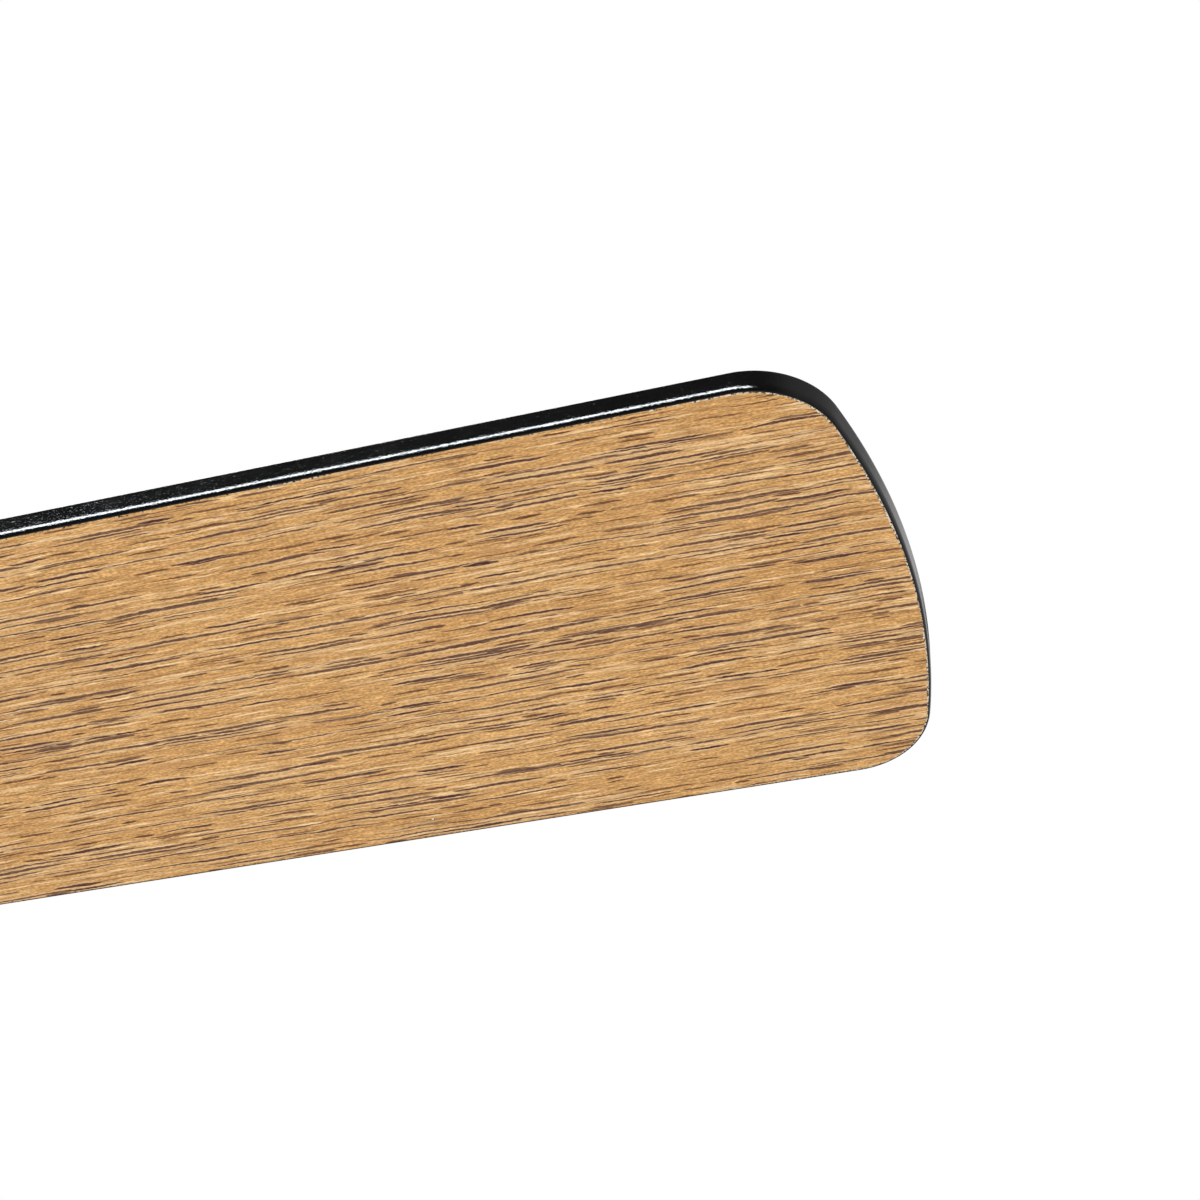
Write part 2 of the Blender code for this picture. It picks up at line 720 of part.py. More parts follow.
def nut_mesh():
    corner = NUT_ACROSS_FLATS / 2 / math.cos(math.pi / 6)
    bore = ring_of_points(ring_bore, SHAFT_SIDES)
    return plate("spindle_nut", ring_of_points(corner, 6), nut_bottom, nut_top, [bore])


# Materials and objects


def material(name, colour, roughness, metallic=0.0):
    made = bpy.data.materials.new(name)
    made.use_nodes = True
    shader = made.node_tree.nodes["Principled BSDF"]
    shader.inputs["Base Color"].default_value = (*colour, 1.0)
    shader.inputs["Roughness"].default_value = roughness
    shader.inputs["Metallic"].default_value = metallic
    return made


def axis(name, parent=None, location=(0.0, 0.0, 0.0), rotation=(0.0, 0.0, 0.0)):
    """An empty that a group of pieces hangs from."""
    empty = bpy.data.objects.new(name, None)
    bpy.context.scene.collection.objects.link(empty)
    empty.parent = parent
    empty.location = location
    empty.rotation_euler = rotation
    return empty


def piece(name, mesh, finish, parent, location=(0.0, 0.0, 0.0)):
    made = bpy.data.objects.new(name, mesh)
    if not mesh.materials:
        mesh.materials.append(finish)
    bpy.context.scene.collection.objects.link(made)
    made.parent = parent
    made.location = location
    return made


def clear_scene():
    for item in list(bpy.data.objects):
        bpy.data.objects.remove(item)


def add_blades(rotor_axis):
    oak = material("oak_print", (0.58, 0.33, 0.14), 0.45)
    fibreboard = material("fibreboard", (0.36, 0.24, 0.13), 0.8)
    film = material("black_film", (0.008, 0.008, 0.007), 0.25)
    black_iron = material("black_cast_iron", (0.015, 0.015, 0.015), 0.4, 0.3)
    steel = material("screw_steel", (0.03, 0.03, 0.03), 0.35, 0.8)
    core = core_mesh()
    oak_face = oak_face_mesh()
    black_film = black_film_mesh()
    iron = iron_mesh()
    blade_screw = screw_mesh("blade_screw", BLADE_SCREW_RADIUS, blade_screw_end + CLEARANCE)
    hub_screw = screw_mesh("hub_screw", HUB_SCREW_RADIUS, HUB_SCREW_LENGTH)
    for number in range(1, BLADE_COUNT + 1):
        name = f"blade_{number}"
        angle = math.tau * (number - 1) / BLADE_COUNT
        spoke = axis(f"{name}_spoke", rotor_axis, rotation=(0, 0, angle))
        board = axis(f"{name}_board", spoke, (0, 0, blade_z), (-BLADE_PITCH, 0, 0))
        piece(f"{name}_core", core, fibreboard, board)
        piece(f"{name}_black_film", black_film, film, board)
        piece(f"{name}_oak_face", oak_face, oak, board)
        piece(f"{name}_iron", iron, black_iron, spoke)
        for i, (x, y) in enumerate(BLADE_SCREWS, 1):
            piece(f"{name}_screw_{i}", blade_screw, steel, board, (x, y, -CLEARANCE))
        for i, (x, y) in enumerate(HUB_SCREWS, 1):
            seat = foot_bottom - CLEARANCE
            piece(f"{name}_hub_screw_{i}", hub_screw, steel, spoke, (x, y, seat))


def add_bearing(name, height, fixed_axis, rotor_axis, meshes, finish):
    inner, outer, cage = meshes
    cage_axis = axis(f"{name}_cage_axis", location=(0, 0, height))
    piece(f"{name}_inner_ring", inner, finish, fixed_axis, (0, 0, height))
    piece(f"{name}_outer_ring", outer, finish, rotor_axis, (0, 0, height))
    piece(f"{name}_ball_cage", cage, finish, cage_axis)


def add_hub(fixed_axis, rotor_axis):
    steel = material("spindle_steel", (0.45, 0.45, 0.46), 0.3, 1.0)
    zinc = material("zinc_plate", (0.6, 0.6, 0.62), 0.35, 1.0)
    casting = material("black_casting", (0.02, 0.02, 0.02), 0.45, 0.2)
    laminations = material("silicon_steel", (0.3, 0.3, 0.31), 0.5, 1.0)
    copper = material("copper_wire", (0.7, 0.28, 0.12), 0.35, 0.9)
    bearing_steel = material("bearing_steel", (0.65, 0.65, 0.67), 0.15, 1.0)
    piece("spindle", spindle_mesh(), steel, fixed_axis)
    piece("downrod_yoke", yoke_mesh(), casting, fixed_axis)
    piece("stator_core", stator_core_mesh(), laminations, fixed_axis)
    piece("stator_winding", winding_mesh(), copper, fixed_axis)
    piece("cap_plate", cap_plate_mesh(), zinc, fixed_axis)
    piece("spindle_nut", nut_mesh(), zinc, fixed_axis)
    piece("rotor_ring", rotor_ring_mesh(), laminations, rotor_axis)
    piece("upper_bell", upper_bell_mesh(), casting, rotor_axis)
    piece("lower_bell", lower_bell_mesh(), casting, rotor_axis)
    bearing = (
        bearing_ring_mesh("inner_ring", ring_bore, -1),
        bearing_ring_mesh("outer_ring", bearing_radius, 1),
        ball_cage_mesh(),
    )
    middle = (bearing_start + bearing_end) / 2
    add_bearing("upper_bearing", motor_z + middle, fixed_axis, rotor_axis, bearing, bearing_steel)
    add_bearing("lower_bearing", motor_z - middle, fixed_axis, rotor_axis, bearing, bearing_steel)


def main():
    clear_scene()
    fixed_axis = axis("fixed_axis")
    rotor_axis = axis("rotor_axis")
    add_blades(rotor_axis)
    add_hub(fixed_axis, rotor_axis)


main()
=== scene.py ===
"""Ceiling-fan propeller: five oak-faced wooden blades with black film on their edges and backs, on
cast irons, turning with the bells of an outer-rotor motor about a hollow spindle.

Laid out as an add-on and run as a script. Metres, +Z up, the origin in the yoke's top rim.
A blade's own frame has x outwards along it and z up through the board from its oak face.
"""

from math import acos, atan2, copysign, cos, exp, pi, radians, sin, sqrt, tan, tau

import bmesh
import bpy
from bpy.props import FloatProperty, FloatVectorProperty, IntProperty, PointerProperty
from bpy.types import Operator, Panel, PropertyGroup
from mathutils import Matrix, Vector, noise


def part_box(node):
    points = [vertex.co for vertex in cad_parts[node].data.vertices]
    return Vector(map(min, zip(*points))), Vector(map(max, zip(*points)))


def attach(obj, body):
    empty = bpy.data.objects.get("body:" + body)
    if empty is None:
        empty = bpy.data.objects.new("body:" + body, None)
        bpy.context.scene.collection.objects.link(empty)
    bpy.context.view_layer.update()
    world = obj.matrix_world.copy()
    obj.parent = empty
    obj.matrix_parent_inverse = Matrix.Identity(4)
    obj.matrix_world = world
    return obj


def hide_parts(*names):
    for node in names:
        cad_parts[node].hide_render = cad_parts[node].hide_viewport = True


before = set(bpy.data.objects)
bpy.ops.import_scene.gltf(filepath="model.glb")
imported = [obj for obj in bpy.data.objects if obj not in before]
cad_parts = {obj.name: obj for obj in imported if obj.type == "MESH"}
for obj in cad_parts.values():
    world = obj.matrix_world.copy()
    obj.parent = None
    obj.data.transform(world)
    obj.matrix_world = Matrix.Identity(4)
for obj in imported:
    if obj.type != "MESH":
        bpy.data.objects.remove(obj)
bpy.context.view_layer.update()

bl_info = {
    "name": "Ceiling-fan propeller",
    "version": (1, 0, 0),
    "blender": (4, 5, 0),
    "location": "View3D > Sidebar > Propeller",
    "description": "Builds the blades, irons, motor case and fixings of a ceiling-fan propeller",
    "category": "Object",
}

MM = 0.001
BLADES = range(1, 6)
BLADE_STEP = tau / 5
FLOAT, COLOUR, VECTOR = "NodeSocketFloat", "NodeSocketColor", "NodeSocketVector"
GEOMETRY = "NodeSocketGeometry"
WHITE = (1.0, 1.0, 1.0)

# Points along each stretch of the board's outline
SIDE_STEPS = 330
TIP_STEPS = 48
CORNER_STEPS = 34
ROOT_CORNER_STEPS = 12
ROOT_STEPS = 26

# The bare rim of the oak sheet grows from none, RIM_START in from the tip, to whole over RIM_FADE,
# but is never less than RIM_LEAST
RIM_START = 78 * MM
RIM_FADE = 50 * MM
RIM_LEAST = 0.3

# Thickness of a board's layers, and the radius of its screws' holes
OAK_THICKNESS = 0.5 * MM
FILM_THICKNESS = 0.45 * MM
BLADE_HOLE = 2.4 * MM

# Places of the fixings, in a blade's frame and in its spoke's
BLADE_SCREWS = ((190 * MM, -26 * MM), (228 * MM, 0.0), (190 * MM, 26 * MM))
HUB_SCREWS = ((76 * MM, -14 * MM), (76 * MM, 14 * MM))
CASE_SCREWS = ((74 * MM, 0.0),)
HUB_HOLE = 2.8 * MM
FOOT_THICKNESS = 4.5 * MM

# The yoke's skirt and cross pin, the vents, the ribs between them, and the plate's three holes
YOKE_BOTTOM = -38 * MM
PIN_HEIGHT = -12 * MM
PIN_RADIUS = 3.3 * MM
VENT_MIDDLE, VENT_LENGTH, VENT_WIDTH = 45 * MM, 20 * MM, 8 * MM
RIB_MIDDLE, RIB_LENGTH, RIB_HALF_WIDTH, RIB_HEIGHT = 48 * MM, 15 * MM, 1.3 * MM, 1.0 * MM
PLATE_HOLES, PLATE_HOLE_CIRCLE = 3, 32 * MM

# Parts of the sky: the way to the middle, and the cosines at the outer and the inner rim
GLOW_BEYOND = ((0.12, 0.84, 0.53), 0.965, 0.997)
SHADE_NEAR = ((-0.15, -0.86, 0.49), 0.35, 0.85)
SHADE_BEHIND = ((-0.303, 0.808, 0.505), 0.930, 0.965)

# Where the camera stands, and the ways of its right, its top and its back
EYE = (0.7771, -0.7731, -0.6040)
CAMERA_AXES = (
    (0.963665, 0.264001, -0.040654),
    (0.171788, -0.495992, 0.851165),
    (0.204544, -0.827222, -0.523322),
)
STRIP_WAY = (-0.20, -0.68, 0.70)
STRIP_DISTANCE = 1.6


# Sizes and colours that a user may change


def length(name, description, default):
    return FloatProperty(
        name=name, description=description, default=default, unit="LENGTH", precision=5
    )


def colour(name, description, default):
    return FloatVectorProperty(
        name=name, description=description, default=default, size=3, subtype="COLOR", min=0, max=1
    )


class BladeSettings(PropertyGroup):
    width: length("Width", "Board's width where its centre line meets the tip", 0.1308)
    taper: FloatProperty(
        name="Taper",
        description="Angle of each side, narrowing towards the root",
        default=radians(0.85),
        subtype="ANGLE",
    )
    tip_arc: length("Tip arc", "Radius of the arched tip", 0.1935)
    tip_corner: length("Tip corner", "Radius of the two outer corners", 0.0212)
    root_corner: length("Root corner", "Radius of the two inner corners", 0.014)
    oak_inset: length("Oak inset", "From the board's edge to the edge of its oak face", 0.00065)
    arris_height: length("Arris height", "Height of the film's rounded lower edge", 0.0020)
    arris_reach: length("Arris reach", "How far that rounding goes in under the board", 0.0006)
    oak_light: colour("Oak, light", "Pale early wood", (0.690, 0.392, 0.153))
    oak_dark: colour("Oak, dark", "Deeper bands of the print", (0.585, 0.312, 0.112))
    pore: colour("Oak pores", "Dark dashes of the grain", (0.046, 0.002, 0.011))
    film: colour("Black film", "Film on the edges and the back", (0.0022, 0.0022, 0.0020))


class HubSettings(PropertyGroup):
    iron: colour("Cast iron", "Black paint of the blade irons", (0.012, 0.012, 0.012))
    casing: colour("Motor case", "Black paint of the bells and the yoke", (0.014, 0.014, 0.015))
    zinc: colour("Zinc plate", "Cap plate and nut", (0.56, 0.57, 0.60))
    copper: colour("Copper wire", "Enamel of the coils", (0.62, 0.20, 0.07))
    vent_count: IntProperty(
        name="Vents", description="Slots through each bell", default=10, min=3, max=20
    )


class StageSettings(PropertyGroup):
    floor_drop: length("Floor", "Height of the floor, from the origin", -2.3)
    floor: colour("Floor", "The floor's colour", (0.80, 0.80, 0.79))
    under_light: FloatProperty(name="Under light", description="Watts from below", default=45.0)
    top_light: FloatProperty(name="Top light", description="Watts from above", default=110.0)
    strip_light: FloatProperty(name="Strip light", description="Watts along the edge", default=42.0)
    focal_length: FloatProperty(
        name="Focal length", description="In millimetres", default=120.0, min=20.0
    )


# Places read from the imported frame


def height_of(node_name, top):
    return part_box(node_name)[1 if top else 0].z


def moved(x, y, z):
    return Matrix.Translation((x, y, z))


def turned(angle, axis="Z"):
    return Matrix.Rotation(angle, 4, axis)


def spoke_turn(number):
    return turned(BLADE_STEP * (number - 1))


def board_frame():
    """Blade 1's own frame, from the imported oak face: its x axis is already the spoke's."""
    flats = [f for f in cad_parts["blade_1_oak_face"].data.polygons if f.normal.z < -0.5]
    lowest = max(flats, key=lambda f: f.area)
    up = -lowest.normal
    across = up.cross(Vector((1, 0, 0)))
    turned_to = Matrix((Vector((1, 0, 0)), across, up)).transposed().to_4x4()
    return moved(0, 0, lowest.center.dot(up) / up.z) @ turned_to


board = board_frame()
film_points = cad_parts["blade_1_black_film"].data.vertices
board_back = max((board.inverted() @ v.co).z for v in film_points)
root_radius, tip_radius = (corner.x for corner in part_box("blade_1_black_film"))
foot_top = height_of("blade_1_iron", True)
foot_bottom = foot_top - FOOT_THICKNESS
motor_z = (height_of("stator_core", True) + height_of("stator_core", False)) / 2


# Outlines and profiles


def arc(centre, radius, start, end, steps):
    """Points along an arc from one angle to another, both ends included."""
    angles = [start + (end - start) * i / steps for i in range(steps + 1)]
    return [(centre[0] + radius * cos(a), centre[1] + radius * sin(a)) for a in angles]


def circle(radius, sides, centre=(0.0, 0.0)):
    return arc(centre, radius, 0.0, tau * (sides - 1) / sides, sides - 1)


def level(radius, height, sides):
    """A circle about the axis, as points at a height."""
    return [(x, y, height) for x, y in circle(radius, sides)]


def in_mm(points):
    return [(a * MM, b * MM) for a, b in points]


def between(start, end, steps):
    """Points between two others, neither included."""
    a, b = Vector(start), Vector(end)
    return [tuple(a.lerp(b, i / steps)) for i in range(1, steps)]


def board_outline(sizes, inset):
    """The board's edge, moved in by inset: the same number of points whatever the inset."""
    slope = tan(sizes.taper)
    cosine = cos(sizes.taper)
    reach = sizes.tip_arc - sizes.tip_corner
    side = sizes.width / 2 * cosine - sizes.tip_corner
    # The corner's centre lies where a line beside the straight side meets a circle inside the arc
    a = 1 + slope**2
    b = 2 * sizes.tip_arc + 2 * side * slope / cosine
    c = sizes.tip_arc**2 + (side / cosine) ** 2 - reach**2
    back = (-b + sqrt(b * b - 4 * a * c)) / (2 * a)
    corner = (tip_radius + back, side / cosine + back * slope)
    meets = atan2(corner[1], back + sizes.tip_arc)
    square = pi / 2 + sizes.taper
    tip_centre = (tip_radius - sizes.tip_arc, 0.0)
    root_half = sizes.width / 2 + (root_radius - tip_radius) * slope
    root_centre = (
        root_radius + sizes.root_corner,
        root_half - sizes.root_corner * (1 / cosine - slope),
    )
    half = arc(tip_centre, sizes.tip_arc - inset, 0.0, meets, TIP_STEPS)
    half += arc(corner, sizes.tip_corner - inset, meets, square, CORNER_STEPS)[1:]
    root = arc(root_centre, sizes.root_corner - inset, square, pi, ROOT_CORNER_STEPS)
    root_middle = (root_radius + inset, 0.0)
    half += between(half[-1], root[0], SIDE_STEPS) + root
    half += between(root[-1], root_middle, ROOT_STEPS) + [root_middle]
    return half + [(x, -y) for x, y in reversed(half[1:-1])]


def softened(profile, reach, steps=4):
    """A closed profile with each corner rounded over at most reach along both of its sides."""
    points = []
    for i, corner in enumerate(profile):
        here = Vector(corner)
        before = Vector(profile[i - 1]) - here
        after = Vector(profile[(i + 1) % len(profile)]) - here
        start = here + before.normalized() * min(reach, before.length * 0.4)
        end = here + after.normalized() * min(reach, after.length * 0.4)
        for k in range(steps + 1):
            t = k / steps
            points.append(tuple(start * (1 - t) ** 2 + here * 2 * t * (1 - t) + end * t**2))
    return points


# Meshes


def to_mesh(build, name):
    mesh = bpy.data.meshes.new(name)
    build.to_mesh(mesh)
    build.free()
    return mesh


def crisp(mesh, sharp=35.0):
    """The mesh with smooth faces that break at sharp edges."""
    mesh.shade_smooth()
    mesh.set_sharp_from_angle(angle=radians(sharp))
    return mesh


def finished(build, name):
    """The bmesh as a mesh, with its faces outwards and its round stretches smooth."""
    bmesh.ops.recalc_face_normals(build, faces=build.faces[:])
    return crisp(to_mesh(build, name))


def linked(name, data):
    made = bpy.data.objects.new(name, data)
    bpy.context.scene.collection.objects.link(made)
    return made


def join_rings(build, rings, close=False):
    """Quads between each ring of vertices and the next."""
    pairs = list(zip(rings, rings[1:])) + ([(rings[-1], rings[0])] if close else [])
    for ring, following in pairs:
        for i in range(len(ring)):
            corners = [ring[i - 1], ring[i], following[i], following[i - 1]]
            build.faces.new(list(dict.fromkeys(corners)))


def skinned(name, rings, close=False, capped=False):
    """A mesh over rings of points, each joined to the next. A ring may be a single point."""
    build = bmesh.new()
    sides = max(len(ring) for ring in rings)
    rows = []
    for ring in rings:
        row = [build.verts.new(point) for point in ring]
        rows.append(row * (sides // len(row)))
    join_rings(build, rows, close)
    if capped:
        build.faces.new(rows[0])
        build.faces.new(rows[-1])
    return finished(build, name)


def lathe(name, profile, sides, ring=True, place=None):
    """A profile of (radius, height) turned about Z. A ring's closes on itself, off the axis."""
    rings = [level(r, h, sides) if r > 0 else [(0, 0, h)] for r, h in profile]
    mesh = skinned(name, rings, close=ring)
    if place:
        mesh.transform(place)
    return mesh


def rod(radius, bottom, top, sides, place=None):
    """A cylinder about Z, to drill with."""
    profile = [(0, bottom), (radius, bottom), (radius, top), (0, top)]
    return lathe("rod", profile, sides, ring=False, place=place)


def slab(name, outline, bottom, top, edge=0.0):
    """A flat plate of the outline between two heights, its edges rounded over edge."""
    middle = Vector((sum(x for x, y in outline), sum(y for x, y in outline))) / len(outline)
    rows = [(0.0, bottom), (0.0, top)]
    if edge:
        rows = [(edge, bottom), (edge * 0.3, bottom + edge * 0.3), (0.0, bottom + edge)]
        rows += [(0.0, top - edge), (edge * 0.3, top - edge * 0.3), (edge, top)]
    rings = []
    for inset, height in rows:
        ring = []
        for x, y in outline:
            inwards = (middle - Vector((x, y))).normalized() * inset
            ring.append((x + inwards.x, y + inwards.y, height))
        rings.append(ring)
    return skinned(name, rings, capped=True)


def merged(name, meshes):
    """Several meshes as one, each left closed."""
    build = bmesh.new()
    for mesh in meshes:
        build.from_mesh(mesh)
        bpy.data.meshes.remove(mesh)
    return to_mesh(build, name)


def evaluated(item, name):
    """The object's mesh with its modifiers applied. The object is removed."""
    bpy.context.view_layer.update()
    graph = bpy.context.evaluated_depsgraph_get()
    mesh = bpy.data.meshes.new_from_object(item.evaluated_get(graph))
    mesh.name = name
    bpy.data.objects.remove(item)
    return mesh


def modified(mesh, name, *steps):
    """The mesh after modifiers, each a pair of its type and its settings."""
    body = linked(name, mesh)
    for kind, settings in steps:
        modifier = body.modifiers.new(kind.lower(), kind)
        for key, value in settings.items():
            setattr(modifier, key, value)
    return evaluated(body, name)


def combined(mesh, other, operation="DIFFERENCE"):
    """The mesh after an exact Boolean with another in the same space."""
    tool = linked("tool", other)
    settings = {"operation": operation, "solver": "EXACT", "object": tool}
    result = modified(mesh, mesh.name, ("BOOLEAN", settings))
    bpy.data.objects.remove(tool)
    return result


def bevelled(mesh, name, width, angle):
    """The mesh with the edges sharper than an angle in degrees rounded over."""
    limits = {"limit_method": "ANGLE", "angle_limit": radians(angle)}
    bevel = ("BEVEL", {"width": width, "segments": 2, "harden_normals": False, **limits})
    return crisp(modified(mesh, name, bevel), 40.0)


def fused(mesh, voxel, rounds):
    """Overlapping closed shells made one skin, with its joins blended as in a casting."""
    remesh = ("REMESH", {"mode": "VOXEL", "voxel_size": voxel})
    result = modified(mesh, mesh.name, remesh, ("SMOOTH", {"factor": 0.5, "iterations": rounds}))
    result.shade_smooth()
    return result


def fitted(name, mesh, look, replaces=(), body="rotor"):
    """A finished piece: its object, its material, and the body that it rides on."""
    made = linked(name, mesh)
    mesh.materials.clear()
    mesh.materials.append(finish(look))
    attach(made, body)
    if replaces:
        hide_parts(*replaces)
    return made


# Node helpers


class Wire:
    """A node's output. Arithmetic on it adds the math node that it stands for."""

    def __init__(self, socket):
        self.socket = socket

    def __add__(self, other):
        return maths("ADD", self, other)

    def __sub__(self, other):
        return maths("SUBTRACT", self, other)

    def __rsub__(self, other):
        return maths("SUBTRACT", other, self)

    def __mul__(self, other):
        return maths("MULTIPLY", self, other)

    def __truediv__(self, other):
        return maths("DIVIDE", self, other)

    def __rtruediv__(self, other):
        return maths("DIVIDE", other, self)

    def __pow__(self, other):
        return maths("POWER", self, other)


class Outputs:
    """The outputs of a node as wires, by name or number."""

    def __init__(self, made):
        self.made = made

    def __getitem__(self, key):
        return Wire(self.made.outputs[key])


def feed(made, inputs):
    """Links or sets each of a node's inputs."""
    for key, value in inputs.items():
        if isinstance(value, Wire):
            made.id_data.links.new(value.socket, made.inputs[key])
        else:
            made.inputs[key].default_value = value


def node(kind, inputs=None, tree=None, **settings):
    """The outputs of a new node, in the tree of its wired inputs unless another is given."""
    inputs = inputs or {}
    if not tree:
        tree = next(v.socket.id_data for v in inputs.values() if isinstance(v, Wire))
    made = tree.nodes.new(kind)
    for key, value in settings.items():
        setattr(made, key, value)
    feed(made, inputs)
    return Outputs(made)


def maths(operation, a, b=0.0, clamp=False):
    return node("ShaderNodeMath", {0: a, 1: b}, operation=operation, use_clamp=clamp)[0]


def greater(a, b):
    return maths("MAXIMUM", a, b)


def vector_maths(operation, a, b=(0.0, 0.0, 0.0), output="Vector"):
    return node("ShaderNodeVectorMath", {0: a, 1: b}, operation=operation)[output]


def span(value, low, high, to_low=0.0, to_high=1.0, smooth=False):
    """The value carried from one range to another, and kept in it."""
    inputs = dict(enumerate((value, low, high, to_low, to_high)))
    curve = "SMOOTHSTEP" if smooth else "LINEAR"
    return node("ShaderNodeMapRange", inputs, interpolation_type=curve)[0]


def rgba(tint):
    return tint if isinstance(tint, Wire) else (*tint[:3], 1.0)


def mixed(factor, a, b, blend="MIX"):
    inputs = {0: factor, 6: rgba(a), 7: rgba(b)}
    return node("ShaderNodeMix", inputs, data_type="RGBA", blend_type=blend)[2]


def cloud(vector, scale, detail=2.0, roughness=0.5, plane=False):
    """Noise from 0 to 1, with scale in lumps for each unit of the vector."""
    inputs = {"Vector": vector, "Scale": scale, "Detail": detail, "Roughness": roughness}
    return node("ShaderNodeTexNoise", inputs, noise_dimensions="2D" if plane else "3D")[0]


def drawn_cloud(vector, factors, detail, roughness=0.5):
    """Noise drawn out, with its own number of lumps for each unit along each axis."""
    return cloud(vector_maths("MULTIPLY", vector, factors), 1.0, detail, roughness)


def new_group(name, inputs, outputs, kind="ShaderNodeTree"):
    """The wires that come into a new node group, and its output node. A number stands for a float
    input's default, and any other value is a socket's type."""
    tree = bpy.data.node_groups.new(name, kind)
    for way, sockets in (("INPUT", inputs), ("OUTPUT", outputs)):
        for label, value in sockets.items():
            plain = isinstance(value, float)
            made = tree.interface.new_socket(
                label, in_out=way, socket_type=FLOAT if plain else value
            )
            if plain:
                made.default_value = value
    return Outputs(tree.nodes.new("NodeGroupInput")), tree.nodes.new("NodeGroupOutput")


def placed(name, inputs):
    """The outputs of a shared group, put in where its inputs are wired from."""
    return node("ShaderNodeGroup", inputs, node_tree=bpy.data.node_groups[name])


# Shared effects


def grain_dashes_group():
    """Long thin marks along x, one at most in each cell, of random length, thickness and tone."""
    sizes = {"Cell Length": 0.03, "Cell Width": 0.003, "Length": 0.02, "Thickness": 0.0006}
    given, outer = new_group(
        "grain_dashes",
        {"Vector": VECTOR, "Offset": VECTOR, **sizes, "Share": 0.8, "Softness": 0.7},
        {"Mask": FLOAT, "Halo": FLOAT},
    )
    cell = node("ShaderNodeCombineXYZ", {0: given["Cell Length"], 1: given["Cell Width"], 2: 1.0})
    stretched = vector_maths("DIVIDE", given["Vector"], cell[0])
    stretched = vector_maths("ADD", stretched, given["Offset"])
    spots = node(
        "ShaderNodeTexVoronoi",
        {"Vector": stretched, "Scale": 1.0, "Randomness": 0.9},
        voronoi_dimensions="2D",
        feature="F1",
    )
    away = vector_maths("SUBTRACT", stretched, spots["Position"])
    away = node("ShaderNodeSeparateXYZ", {0: vector_maths("MULTIPLY", away, cell[0])})
    chance = node("ShaderNodeSeparateColor", {0: spots["Color"]})
    half_length = given["Length"] * 0.5 * span(chance[0], 0.0, 1.0, 0.35, 1.45)
    half_thickness = given["Thickness"] * 0.5 * span(chance[1], 0.0, 1.0, 0.6, 1.3)
    along = (away[0] / half_length) ** 2.0
    across = (away[1] / half_thickness) ** 2.0
    mask = span(along + across, 1.0 - given["Softness"], 1.0, 1.0, 0.0, smooth=True)
    halo = span(along + across * 0.12, 0.3, 1.0, 1.0, 0.0, smooth=True)
    present = maths("LESS_THAN", chance[2], given["Share"])
    strength = span(chance[0], 0.0, 1.0, 1.0, 0.86)
    feed(outer, {"Mask": mask * present * strength, "Halo": halo * present})


